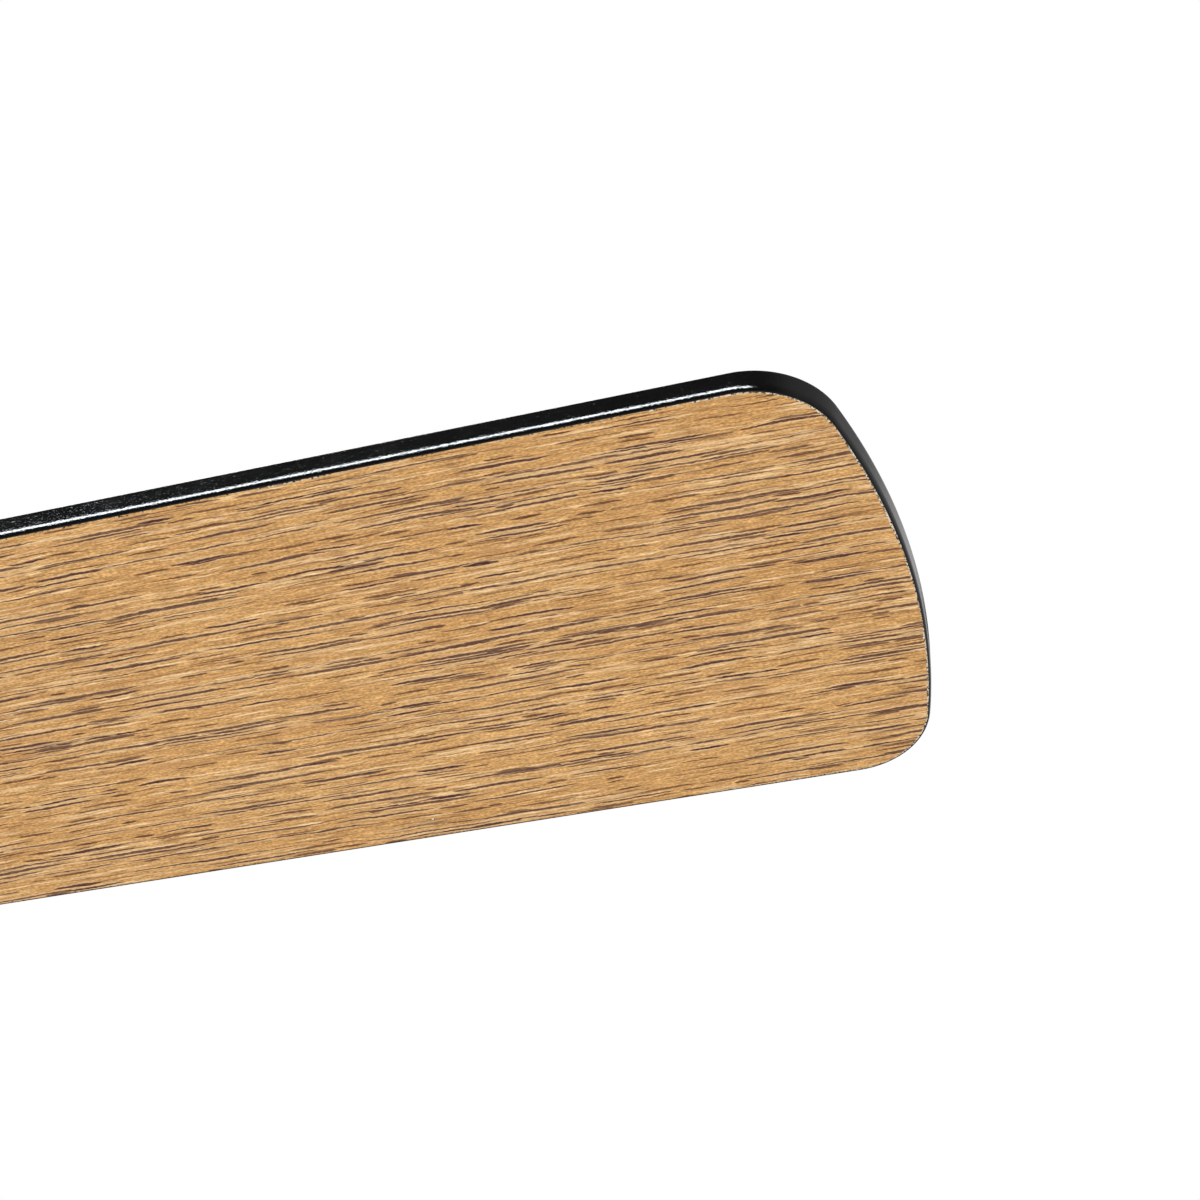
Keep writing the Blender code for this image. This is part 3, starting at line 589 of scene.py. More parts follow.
def oak_print_group():
    """Printed oak: tonal bands, fine fibres, pale streaks and dark pores that run along x."""
    given, outer = new_group(
        "oak_print",
        {"Vector": VECTOR, "Light": COLOUR, "Dark": COLOUR, "Pore": COLOUR},
        {"Color": COLOUR, "Pores": FLOAT, "Fibre": FLOAT},
    )
    plain = given["Vector"]

    def sway(factors, detail, reach):
        return (drawn_cloud(plain, factors, detail) - 0.5) * reach

    shift = sway((4, 10, 1), 1.0, 7.0 * MM) + sway((60, 90, 1), 2.0, 1.5 * MM)
    shift = shift + sway((700, 1100, 1), 1.0, 0.5 * MM)
    shifted = vector_maths("ADD", plain, node("ShaderNodeCombineXYZ", {1: shift})[0])

    def layer(offset, cell, size, share, softness):
        """Dashes of a length and a thickness in cells of a length and a width, in millimetres."""
        sizes = zip(("Cell Length", "Cell Width", "Length", "Thickness"), (*cell, *size))
        inputs = {"Vector": shifted, "Offset": offset, "Share": share, "Softness": softness}
        return placed("grain_dashes", {**inputs, **{key: value * MM for key, value in sizes}})

    bold = layer((3.1, 7.7, 0), (34, 2.9), (27, 0.80), 0.68, 0.3)
    short = layer((13.4, 2.3, 0), (15, 2.3), (11.5, 0.66), 0.56, 0.35)["Mask"]
    faint = layer((5.9, 21.1, 0), (25, 1.8), (20, 0.42), 0.62, 0.5)["Mask"]
    runs = layer((41.7, 9.2, 0), (85, 5.4), (80, 0.68), 0.85, 0.3)
    gaps = span(drawn_cloud(shifted, (150, 900, 1), 2.0), 0.38, 0.48)
    pale = layer((17.3, 33.3, 0), (44, 4.6), (34, 1.5), 0.75, 1.0)["Mask"]
    pale_fine = layer((29.9, 3.9, 0), (30, 2.2), (24, 0.62), 0.7, 0.8)["Mask"]

    bands = span(drawn_cloud(shifted, (5, 95, 1), 2.0), 0.32, 0.68)
    drift = span(drawn_cloud(plain, (6, 16, 1), 1.0), 0.3, 0.7)
    ground = mixed(bands * 0.6 + drift * 0.4, given["Dark"], given["Light"])
    fibre = drawn_cloud(shifted, (170, 2100, 1), 3.0, 0.7)
    shade = mixed(span(fibre, 0.35, 0.66), (0.64, 0.60, 0.54), (1.30, 1.33, 1.34))
    ground = mixed(1.0, ground, shade, "MULTIPLY")
    grit = span(drawn_cloud(plain, (1100, 2300, 1), 1.0), 0.3, 0.7)
    shade = mixed(grit, (0.70, 0.70, 0.68), (1.27, 1.27, 1.28))
    ground = mixed(1.0, ground, shade, "MULTIPLY")
    streak = greater(pale * 0.7, pale_fine) * span(fibre, 0.35, 0.6)
    streak = greater(streak, greater(bold["Halo"], runs["Halo"]) * 0.30)
    ground = mixed(streak, ground, (0.97, 0.72, 0.42))
    warm = span(drawn_cloud(shifted, (28, 520, 1), 2.0), 0.52, 0.7)
    ground = mixed(warm * 0.38, ground, (0.46, 0.215, 0.080))
    pores = greater(greater(bold["Mask"], short * 0.88), faint * 0.6)
    pores = greater(pores, runs["Mask"] * gaps)
    worn = span(drawn_cloud(shifted, (600, 2400, 1), 2.0), 0.30, 0.50, 0.8, 1.0)
    pores = maths("MULTIPLY", pores, worn, clamp=True)
    inked = mixed(pores * 0.97, ground, given["Pore"])
    feed(outer, {"Color": inked, "Pores": pores, "Fibre": fibre})


def speckle_group():
    """Fine pimples and slow unevenness, as in film, paint or a casting's skin."""
    given, outer = new_group(
        "speckle",
        {"Vector": VECTOR, "Size": 0.0003, "Unevenness": 0.5, "Low": 0.3, "High": 0.5},
        {"Height": FLOAT, "Roughness": FLOAT, "Tone": FLOAT},
    )
    pitch = 1.0 / given["Size"]
    fine = cloud(given["Vector"], pitch, 2.0)
    slow = cloud(given["Vector"], pitch * 0.045, 3.0)
    rough = span(slow, 0.3, 0.7, given["Low"], given["High"])
    height = fine + slow * given["Unevenness"]
    feed(outer, {"Height": height, "Roughness": rough, "Tone": span(fine, 0.3, 0.7)})


def dust_group():
    """Thin dust that settles where a surface faces up, broken into patches."""
    inputs = {"Vector": VECTOR, "Normal": VECTOR, "Amount": 0.3}
    given, outer = new_group("dust", inputs, {"Mask": FLOAT})
    up = node("ShaderNodeSeparateXYZ", {0: given["Normal"]})[2]
    patches = span(cloud(given["Vector"], 60.0, 5.0, 0.65), 0.35, 0.75)
    feed(outer, {"Mask": span(up, 0.3, 1.0) * patches * given["Amount"]})


def lines_group():
    """Fine turned lines about the spin axis, for machined and plated metal."""
    inputs = {"Vector": VECTOR, "Pitch": 0.0004}
    given, outer = new_group("turned_lines", inputs, {"Height": FLOAT})
    parts = node("ShaderNodeSeparateXYZ", {0: given["Vector"]})
    flat = node("ShaderNodeCombineXYZ", {0: parts[0], 1: parts[1]})[0]
    radius = vector_maths("LENGTH", flat, output="Value")
    cut = node("ShaderNodeCombineXYZ", {0: radius, 1: parts[2]})[0]
    feed(outer, {"Height": cloud(cut, 1.0 / given["Pitch"], 2.0, plane=True)})


# Materials


def new_material(name, **values):
    """A material and its shader, with uniform values on the shader's own sockets."""
    made = bpy.data.materials.new(name)
    made.use_nodes = True
    shader = made.node_tree.nodes["Principled BSDF"]
    feed(shader, {key.replace("_", " "): value for key, value in values.items()})
    return made, shader


def bumped(shader, height, strength, distance):
    bump = node("ShaderNodeBump", {"Height": height, "Strength": strength, "Distance": distance})
    feed(shader, {"Normal": bump[0]})


def object_place(shader):
    return node("ShaderNodeTexCoord", tree=shader.id_data)["Object"]


def oak_finish(sizes):
    """The print, with bare torn paper along its rim, small nicks, and crumbs of the film."""
    made, shader = new_material("oak_print", Roughness=0.5, Specular_IOR_Level=0.2)
    place = node("ShaderNodeUVMap", tree=shader.id_data, uv_map="grain")[0]
    rim = node("ShaderNodeAttribute", tree=shader.id_data, attribute_name="rim")["Fac"]
    tints = {"Light": rgba(sizes.oak_light), "Dark": rgba(sizes.oak_dark)}
    oak = placed("oak_print", {"Vector": place, **tints, "Pore": rgba(sizes.pore)})
    chips = cloud(place, 500.0, 3.0, 0.75) + cloud(place, 45.0, 1.0) * 0.5 + rim * 0.28
    bare = span(chips, 0.88, 0.99) * span(rim, 0.0, 0.25)
    bare = greater(bare, span(drawn_cloud(place, (260, 700, 1), 1.0), 0.815, 0.83))
    scraps = span(cloud(place, 1500.0, 2.0, 0.7), 0.44, 0.52)
    paper = mixed(scraps, (0.09, 0.05, 0.03), (0.82, 0.70, 0.53))
    base = mixed(bare, oak["Color"], paper)
    crumbs = span(cloud(place, 1300.0, 2.0, 0.7), 0.56, 0.6) * span(rim, 0.05, 0.2)
    base = mixed(crumbs, base, (0.012, 0.009, 0.008))
    feed(shader, {"Base Color": base, "Roughness": span(oak["Fibre"], 0.3, 0.7, 0.44, 0.58)})
    bumped(shader, oak["Fibre"] * 0.3 - oak["Pores"], 0.25, 0.05 * MM)
    return made


def speckled_finish(name, tint, size, low, high, strength, relief=0.2, dusty=0.02, **values):
    """Black film, paint or casting: speckle in its height and gloss, a little dust on top."""
    made, shader = new_material(name, **values)
    place = object_place(shader)
    speckle = placed("speckle", {"Vector": place, "Size": size, "Low": low, "High": high})
    lighter = [min(1.0, c * 1.9 + 0.001) for c in tint]
    facing = node("ShaderNodeNewGeometry", tree=shader.id_data)["Normal"]
    dust = placed("dust", {"Vector": place, "Normal": facing, "Amount": dusty})["Mask"]
    base = mixed(dust, mixed(speckle["Tone"], tint, lighter), (0.30, 0.29, 0.27))
    rough = maths("ADD", speckle["Roughness"], dust * 1.5, clamp=True)
    feed(shader, {"Base Color": base, "Roughness": rough})
    bumped(shader, speckle["Height"], strength, size * relief)
    return made


def metal_finish(name, tint, pitch, low, high, strength):
    """Turned, plated or ground metal: fine lines about the axis, and cloudy wear."""
    made, shader = new_material(name, Metallic=1.0)
    place = object_place(shader)
    lines = placed("turned_lines", {"Vector": place, "Pitch": pitch})
    clouds = cloud(place, 180.0, 4.0, 0.6)
    base = mixed(span(clouds, 0.3, 0.7), [c * 0.72 for c in tint], tint)
    feed(shader, {"Base Color": base, "Roughness": span(clouds, 0.3, 0.7, high, low)})
    bumped(shader, lines["Height"], strength, pitch * 0.2)
    return made


def lamination_finish():
    """Stacked sheets of steel, with a dark seam at each joint."""
    made, shader = new_material("laminations", Metallic=0.9, Roughness=0.45)
    place = object_place(shader)
    height = node("ShaderNodeSeparateXYZ", {0: place})[2]
    sheet = maths("FRACT", height / (0.5 * MM))
    seam = span(maths("ABSOLUTE", sheet - 0.5), 0.36, 0.46)
    tone = mixed(cloud(place, 240.0, 4.0), (0.20, 0.20, 0.21), (0.40, 0.40, 0.41))
    feed(shader, {"Base Color": mixed(seam, tone, (0.05, 0.045, 0.04))})
    bumped(shader, 1.0 - seam, 0.6, 0.06 * MM)
    return made


def copper_finish(tint):
    """Enamelled wires wound side by side."""
    made, shader = new_material("copper_wire", Metallic=0.85, Roughness=0.3)
    place = object_place(shader)
    shade = span(cloud(place, 350.0, 3.0), 0.3, 0.7)
    feed(shader, {"Base Color": mixed(shade, [c * 0.55 for c in tint], tint)})
    lines = placed("turned_lines", {"Vector": place, "Pitch": 0.7 * MM})
    bumped(shader, lines["Height"], 0.8, 0.15 * MM)
    return made


def board_finish():
    """Pressed fibreboard: flecks of fibre in a brown ground."""
    made, shader = new_material("fibreboard", Roughness=0.85)
    flat = vector_maths("MULTIPLY", object_place(shader), (1, 1, 3))
    flecks = cloud(flat, 900.0, 4.0, 0.7)
    base = mixed(span(flecks, 0.3, 0.7), (0.20, 0.12, 0.065), (0.43, 0.30, 0.18))
    feed(shader, {"Base Color": base})
    bumped(shader, flecks, 0.5, 0.15 * MM)
    return made


finishes = {}


def finish(name):
    """The named material, all of them made the first time that one is asked for."""
    if finishes:
        return finishes[name]
    for make in (grain_dashes_group, oak_print_group, speckle_group, dust_group, lines_group):
        make()
    blade = bpy.context.scene.propeller_blade
    hub = bpy.context.scene.propeller_hub
    dull = {"Specular_IOR_Level": 0.3}
    # Colour, millimetres of speckle, least and greatest roughness, strength of relief, the rest
    for key, tint, size, low, high, strength, others in (
        ("black_film", blade.film, 0.45, 0.05, 0.09, 0.5, {"relief": 0.16, "dusty": 0.012}),
        ("black_iron", hub.iron, 0.9, 0.34, 0.50, 0.35, dull),
        ("black_casting", hub.casing, 0.6, 0.34, 0.48, 0.3, dull),
        ("black_screw", (0.03, 0.03, 0.032), 0.25, 0.28, 0.4, 0.2, {"Metallic": 0.7}),
        ("red_fibre", (0.16, 0.035, 0.025), 0.4, 0.6, 0.75, 0.4, {}),
    ):
        finishes[key] = speckled_finish(key, tint, size * MM, low, high, strength, **others)
    # Colour, millimetres between lines, least and greatest roughness, strength of relief
    for key, tint, pitch, low, high, strength in (
        ("shaft_steel", (0.50, 0.50, 0.51), 0.35, 0.24, 0.4, 0.35),
        ("zinc_plate", hub.zinc, 0.5, 0.25, 0.45, 0.2),
        ("bearing_steel", (0.66, 0.66, 0.68), 0.2, 0.1, 0.2, 0.15),
    ):
        finishes[key] = metal_finish(key, tint, pitch * MM, low, high, strength)
    finishes["oak_print"] = oak_finish(blade)
    finishes["fibreboard"] = board_finish()
    finishes["laminations"] = lamination_finish()
    finishes["copper_wire"] = copper_finish(hub.copper)
    return finishes[name]


def refinish(node_name, look):
    """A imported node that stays, with a better material in its slots."""
    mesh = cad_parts[node_name].data
    if not mesh.materials:
        mesh.materials.append(finish(look))
    for i in range(len(mesh.materials)):
        mesh.materials[i] = finish(look)


# Blades


def board_solid(name, rows, sizes, rim_rows=()):
    """A closed solid round the board, from rows of (inset, height, raggedness), with the screws'
    holes through both of its flat faces. Only the rows named have a rim attribute above 0."""
    build = bmesh.new()
    rim = build.verts.layers.float.new("rim")
    rings = []
    for k, (inset, height, ragged) in enumerate(rows):
        outline = board_outline(sizes, inset)
        inner = board_outline(sizes, inset + MM)
        ring = []
        for (x, y), (near_x, near_y) in zip(outline, inner):
            fine = noise.noise(Vector((x, y, 0.0)) * 900)
            coarse = noise.noise(Vector((x, y, 3.0)) * 160)
            way = ragged * (fine * 0.6 + coarse * 0.8)
            corner = build.verts.new((x + (near_x - x) * way, y + (near_y - y) * way, height))
            grown = (x - tip_radius + RIM_START) / RIM_FADE
            corner[rim] = min(1.0, max(RIM_LEAST, grown)) if k in rim_rows else 0.0
            ring.append(corner)
        rings.append(ring)
    join_rings(build, rings)
    tubes = []
    for ring in (rings[0], rings[-1]):
        loops = [ring]
        for place in BLADE_SCREWS:
            hole = circle(BLADE_HOLE, 28, place)
            loops.append([build.verts.new((x, y, ring[0].co.z)) for x, y in hole])
        tubes.append(loops[1:])
        edges = []
        for loop in loops:
            for i, corner in enumerate(loop):
                pair = (loop[i - 1], corner)
                edges.append(build.edges.get(pair) or build.edges.new(pair))
        bmesh.ops.triangle_fill(build, use_beauty=True, edges=edges)
    for low, high in zip(*tubes):
        join_rings(build, [low, high])
    return finished(build, name)


def oak_sheet_mesh(number, sizes):
    """The oak face, its edge a little ragged. Its UV map is in metres, moved on for each blade so
    that no two have the same print."""
    side = sizes.oak_inset
    rows = [
        (1.4 * MM, OAK_THICKNESS, 0.0),
        (side + 0.2 * MM, OAK_THICKNESS, 0.0),
        (side + 0.2 * MM, 0.22 * MM, 0.0),
        (side + 0.03 * MM, 0.12 * MM, 0.0),
        (side + 0.32 * MM, 0.0, 0.32),
        (side + 0.37 * MM, 0.0, 0.32),
        (side + 0.9 * MM, 0.0, 0.0),
    ]
    mesh = board_solid(f"oak_sheet_{number}", rows, sizes, (3, 4))
    layer = mesh.uv_layers.new(name="grain")
    offset = Vector((1.37 * number, 0.61 * number))
    for loop in mesh.loops:
        layer.data[loop.index].uv = mesh.vertices[loop.vertex_index].co.xy + offset
    return mesh


def film_mesh(number, sizes):
    """A tray: a rolled lower arris with a thin lip, an upright edge, and the film on the back."""
    back = board_back
    inner = sizes.oak_inset + 0.1 * MM
    rows = [
        (1.6 * MM, back - FILM_THICKNESS),
        (inner + 0.05 * MM, back - FILM_THICKNESS),
        (inner, back - 0.5 * MM),
        (inner, 0.34 * MM),
    ]
    reach, rise = sizes.arris_reach, sizes.arris_height
    lip = 0.2 * MM
    last = acos(1 - (sizes.oak_inset - lip) / reach)
    rows.append((sizes.oak_inset, rise - rise * sin(last)))
    for angle in [last * (1 - i / 9) for i in range(10)]:
        rows.append((reach - reach * cos(angle), rise - rise * sin(angle)))
    rows += [(0.0, rise + 0.4 * MM), (0.0, back - 0.9 * MM)]
    turn = 0.22 * MM
    for angle in [pi / 2 * i / 5 for i in range(6)]:
        rows.append((turn - turn * cos(angle), back - turn + turn * sin(angle)))
    rows += [(turn + 0.3 * MM, back), (2.0 * MM, back)]
    rows = [(inset, height, 0.0) for inset, height in rows]
    return board_solid(f"edge_film_{number}", rows, sizes)


class PROPELLER_OT_oak_faces(Operator):
    """Lays the oak-print sheet on the underside of each board"""

    bl_idname = "propeller.oak_faces"
    bl_label = "Oak faces"

    def execute(self, context):
        for number in BLADES:
            mesh = oak_sheet_mesh(number, context.scene.propeller_blade)
            mesh.transform(spoke_turn(number) @ board)
            node_name = f"blade_{number}_oak_face"
            fitted(f"oak_sheet_{number}", mesh, "oak_print", [node_name])
            refinish(f"blade_{number}_core", "fibreboard")
        return {"FINISHED"}


class PROPELLER_OT_edge_films(Operator):
    """Wraps black film round the edges and back of each board"""

    bl_idname = "propeller.edge_films"
    bl_label = "Edge films"

    def execute(self, context):
        for number in BLADES:
            mesh = film_mesh(number, context.scene.propeller_blade)
            mesh.transform(spoke_turn(number) @ board)
            node_name = f"blade_{number}_black_film"
            fitted(f"edge_film_{number}", mesh, "black_film", [node_name])
        return {"FINISHED"}


# Blade irons


def rounded_hull(centres, radius, steps):
    """The outline round equal circles whose centres run counter-clockwise."""
    points = []
    for i, centre in enumerate(centres):
        before = Vector(centre) - Vector(centres[i - 1])
        after = Vector(centres[(i + 1) % len(centres)]) - Vector(centre)
        start = atan2(-before.x, before.y)
        end = atan2(-after.x, after.y)
        end += tau if end < start else 0.0
        points += arc(centre, radius, start, end, steps)
    return points


def arm_sections(steps=36, sides=32):
    """Ovals with a raised rib, dropping from the foot to the flange and turning to its pitch."""
    start = Vector((80 * MM, 0, (foot_top + foot_bottom) / 2))
    end = board @ Vector((187 * MM, 0, board_back + 2 * MM))
    pitch = atan2(board[1][2], board[2][2])
    sections = []
    for i in range(steps + 1):
        along = i / steps
        ease = along * along * (3 - 2 * along)
        swell = sin(pi * along)
        half_width = (34 - 13 * swell**0.8) / 2 * MM
        half_height = (2.6 + 3.6 * swell) / 2 * MM
        middle = start.lerp(end, ease)
        middle.x = start.x + (end.x - start.x) * along
        place = Matrix.Translation(middle) @ turned(-pitch * ease, "X")
        section = []
        for k in range(sides):
            cosine, sine = cos(tau * k / sides), sin(tau * k / sides)
            y = half_width * copysign(abs(cosine) ** 0.7, cosine)
            z = half_height * copysign(abs(sine) ** 0.7, sine)
            if z < 0:
                z -= 1.1 * MM * swell * exp(-((y / (2.6 * MM)) ** 2))
            section.append(place @ Vector((0, y, z)))
        sections.append(section)
    return sections


def iron_mesh():
    """The cast arm with its foot, flange and bosses blended into one skin, then drilled."""
    foot = in_mm(softened([(58, -22), (92, -22), (92, 22), (58, 22)], 8, 8))
    parts = [slab("foot", foot, foot_bottom, foot_top - 0.05 * MM, 0.8 * MM)]
    parts.append(skinned("arm", arm_sections(), capped=True))
    flange_bottom = board_back + 0.35 * MM
    flange_top = flange_bottom + 3.4 * MM
    lobes = rounded_hull(BLADE_SCREWS, 9 * MM, 14)
    flange = [slab("flange", lobes, flange_bottom, flange_top, 0.9 * MM)]
    profile = in_mm([(0, 0), (7.4, 0), (7.0, 0.8), (6.6, 3.2), (5.9, 3.95), (0, 3.95)])
    profile = [(r, flange_top - 0.1 * MM + h) for r, h in profile]
    drills = []
    for x, y in BLADE_SCREWS:
        place = moved(x, y, 0)
        flange.append(lathe("boss", profile, 28, ring=False, place=place))
        drills.append(rod(BLADE_HOLE, -5 * MM, 25 * MM, 20, board @ place))
    for mesh in flange:
        mesh.transform(board)
    iron = fused(merged("iron", parts + flange), 0.9 * MM, 3)
    for x, y in HUB_SCREWS:
        place = moved(x, y, foot_top)
        drills.append(rod(HUB_HOLE, -9 * MM, 5 * MM, 20, place))
    return crisp(combined(iron, merged("drills", drills)), 50.0)


class PROPELLER_OT_irons(Operator):
    """Casts the iron of each blade, with its foot, arm, flange and bosses"""

    bl_idname = "propeller.irons"
    bl_label = "Blade irons"

    def execute(self, context):
        first = iron_mesh()
        for number in BLADES:
            mesh = first.copy()
            mesh.transform(spoke_turn(number))
            node_name = f"blade_{number}_iron"
            fitted(f"cast_iron_{number}", mesh, "black_iron", [node_name])
        bpy.data.meshes.remove(first)
        return {"FINISHED"}


# Fixings, seated by Geometry Nodes


def seating_tree():
    """Puts a template on every point, its z axis along the point's own, turned at random."""
    name = "seat_on_points"
    if name in bpy.data.node_groups:
        return bpy.data.node_groups[name]
    inputs = {
        "Points": GEOMETRY,
        "Template": "NodeSocketObject",
        "Size": 1.0,
        "Greatest Turn": tau,
        "Seed": "NodeSocketInt",
        "Finish": "NodeSocketMaterial",
    }
    given, outer = new_group(name, inputs, {"Pieces": GEOMETRY}, "GeometryNodeTree")
    axis = node(
        "GeometryNodeInputNamedAttribute",
        {"Name": "axis"},
        outer.id_data,
        data_type="FLOAT_VECTOR",
    )
    aligned = node("FunctionNodeAlignRotationToVector", {"Vector": axis["Attribute"]}, axis="Z")
    chance = {3: given["Greatest Turn"], "Seed": given["Seed"]}
    turn = node("FunctionNodeRandomValue", chance, data_type="FLOAT")[1]
    spin = node("FunctionNodeAxisAngleToRotation", {"Axis": (0.0, 0.0, 1.0), "Angle": turn})
    rotated = node(
        "FunctionNodeRotateRotation",
        {"Rotation": aligned[0], "Rotate By": spin[0]},
        rotation_space="LOCAL",
    )
    pattern = {"Object": given["Template"]}
    template = node("GeometryNodeObjectInfo", pattern, transform_space="ORIGINAL")
    seated = node(
        "GeometryNodeInstanceOnPoints",
        {
            "Points": given["Points"],
            "Instance": template["Geometry"],
            "Rotation": rotated[0],
            "Scale": given["Size"],
        },
    )
    real = node("GeometryNodeRealizeInstances", {"Geometry": seated[0]})
    done = node("GeometryNodeSetMaterial", {"Geometry": real[0], "Material": given["Finish"]})
    feed(outer, {"Pieces": done[0]})
    return outer.id_data


def seats_at(spots, local, height, way=1):
    """A point and a direction for each spot of every blade, at a height in the local frame."""
    seats = []
    for number in BLADES:
        place = spoke_turn(number) @ local
        direction = place.to_3x3() @ Vector((0, 0, way))
        seats += [(place @ Vector((x, y, height)), direction) for x, y in spots]
    return seats


def seated(name, template, seats, look, seed, replaces=(), slot=None):
    """One piece of the rotor: the template at every seat."""
    points = bpy.data.meshes.new("seats")
    points.from_pydata([tuple(point) for point, direction in seats], [], [])
    axis = points.attributes.new("axis", "FLOAT_VECTOR", "POINT")
    for i, (point, direction) in enumerate(seats):
        axis.data[i].vector = direction
    pattern = linked("pattern", template)
    carrier = linked(name, points)
    modifier = carrier.modifiers.new("seating", "NODES")
    modifier.node_group = seating_tree()
    values = {"Template": pattern, "Size": 1.0, "Greatest Turn": tau}
    values.update({"Seed": seed, "Finish": finish(look)})
    for item in modifier.node_group.interface.items_tree:
        if item.item_type == "SOCKET" and item.in_out == "INPUT" and item.name in values:
            modifier[item.identifier] = values[item.name]
    mesh = evaluated(carrier, name)
    bpy.data.objects.remove(pattern)
    if not mesh.polygons:
        raise RuntimeError(f"{name} came out empty")
    fitted(name, crisp(mesh), look, replaces)


def screw_template(shank, long, head, high):
    """A pan-head screw with rolled thread and a cross recess, its shank up from the origin."""
    root = shank * 0.86
    profile = [(0, -high), (head * 0.45, -high)]
    for i in range(1, 8):
        angle = pi / 2 * i / 7
        reach = 0.45 + 0.55 * sin(angle)
        profile.append((head * reach, -high * (0.25 + 0.75 * cos(angle) ** 0.8)))
    profile += [(head * 0.985, -0.02 * MM), (head * 0.94, 0.0), (root, 0.0)]
    pitch = 0.8 * MM
    for i in range(int((long - 1.6 * MM) / pitch)):
        base = 0.8 * MM + i * pitch
        profile += [(root, base), (shank * 0.99, base + pitch / 2)]
    profile += [(root, long - 0.6 * MM), (shank * 0.5, long), (0, long)]
    screw = lathe("screw", profile, 24, ring=False)
    half, wide = head * 0.5, head * 0.11
    corners = [(half, wide), (-half, wide), (-half, -wide), (half, -wide)]
    sections = []
    for depth, scale in ((-high - 0.2 * MM, 1.25), (-high * 0.35, 0.55)):
        sections.append([(x * scale, y * (0.7 + 0.3 * scale), depth) for x, y in corners])
    for turn in (0.0, pi / 2):
        cutter = skinned("cutter", sections, capped=True)
        cutter.transform(turned(turn))
        screw = combined(screw, cutter)
    return crisp(screw)


def washer_template(bore, rim, thick, split, sides=36):
    """A washer below the origin: flat, or a spring washer whose split ends part."""
    profile = softened([(bore, -thick), (rim, -thick), (rim, 0.0), (bore, 0.0)], thick * 0.2, 2)
    rows = []
    last = sides - 1 if split else sides
    for i in range(last):
        angle = tau * i / sides
        lift = (i / last - 0.5) * thick * 0.5 if split else 0.0
        rows.append([(r * cos(angle), r * sin(angle), h + lift) for r, h in profile])
    return skinned("washer", rows, close=not split, capped=split)


class PROPELLER_OT_blade_fixings(Operator):
    """Seats the screws and fibre washers that hold each board to its iron"""

    bl_idname = "propeller.blade_fixings"
    bl_label = "Blade screws and washers"

    def execute(self, context):
        thick = 0.5 * MM
        screw = screw_template(2.1 * MM, 13.2 * MM, 3.99 * MM, 2.3 * MM)
        seats = seats_at(BLADE_SCREWS, board, -(thick + 0.04 * MM))
        nodes = [f"blade_{n}_screw_{i}" for n in BLADES for i in (1, 2, 3)]
        seated("blade_screws", screw, seats, "black_screw", 3, nodes)
        washer = washer_template(2.3 * MM, 4.9 * MM, thick - 0.02 * MM, False)
        seats = seats_at(BLADE_SCREWS, board, -0.02 * MM)
        seated("fibre_washers", washer, seats, "red_fibre", 1, slot="fibreboard")
        return {"FINISHED"}


class PROPELLER_OT_hub_fixings(Operator):
    """Seats the screws and spring washers that hold each iron's foot to the lower bell"""

    bl_idname = "propeller.hub_fixings"
    bl_label = "Hub screws and washers"

    def execute(self, context):
        thick = 0.9 * MM
        seat = foot_bottom - 0.05 * MM
        screw = screw_template(2.5 * MM, 11.4 * MM, 4.75 * MM, 2.5 * MM)
        seats = seats_at(HUB_SCREWS, Matrix(), seat - thick - 0.04 * MM)
        nodes = [f"blade_{n}_hub_screw_{i}" for n in BLADES for i in (1, 2)]
        seated("hub_screws", screw, seats, "black_screw", 8, nodes)
        washer = washer_template(2.65 * MM, 4.5 * MM, thick * 0.72, True)
        seats = seats_at(HUB_SCREWS, Matrix(), seat - 0.12 * MM)
        seated("spring_washers", washer, seats, "zinc_plate", 5)
        return {"FINISHED"}


# Motor case


def slot_cutters(count, bottom, top):
    """Radial slots with round ends, spaced evenly about the axis."""
    radius = VENT_WIDTH / 2
    half = VENT_LENGTH / 2 - radius
    ends = arc((VENT_MIDDLE + half, 0), radius, -pi / 2, pi / 2, 10)
    ends += arc((VENT_MIDDLE - half, 0), radius, pi / 2, pi * 1.5, 10)
    cutters = []
    for i in range(count):
        cutter = slab("vent", ends, bottom, top)
        cutter.transform(turned(tau * (i + 0.5) / count))
        cutters.append(cutter)
    return merged("vents", cutters)


def bell_mesh(name, crown, vents, drills=None):
    """Half of the motor's case, in heights away from its middle, with the crown outermost."""
    inside = [(95, 0.15), (88.8, 0.15), (88.8, 9.3), (79.75, 9.3), (79.75, 13.3), (70, 13.3)]
    inside += [(66, 17), (25.8, 17), (25.8, 12), (20.3, 12), (20.3, 24.6), (13, 24.6), (13, 27.6)]
    bell = lathe(name, softened(in_mm(inside + crown), 0.8 * MM, 3), 144)
    bell = combined(bell, slot_cutters(vents, 15 * MM, 30 * MM))
    if drills:
        bell = combined(bell, drills)
    return bevelled(bell, name, 0.35 * MM, 50)


def rib_mesh(steps=8, sides=12):
    """A low rounded rib along x, its foot at the origin."""
    sections = []
    for i in range(steps + 1):
        along = i / steps
        swell = sin(pi * min(max(along, 0.02), 0.98)) ** 0.4
        oval = []
        for k in range(sides):
            angle = tau * k / sides
            y = RIB_HALF_WIDTH * swell * cos(angle)
            oval.append(((along - 0.5) * RIB_LENGTH, y, RIB_HEIGHT * swell * sin(angle)))
        sections.append(oval)
    return skinned("rib", sections, capped=True)


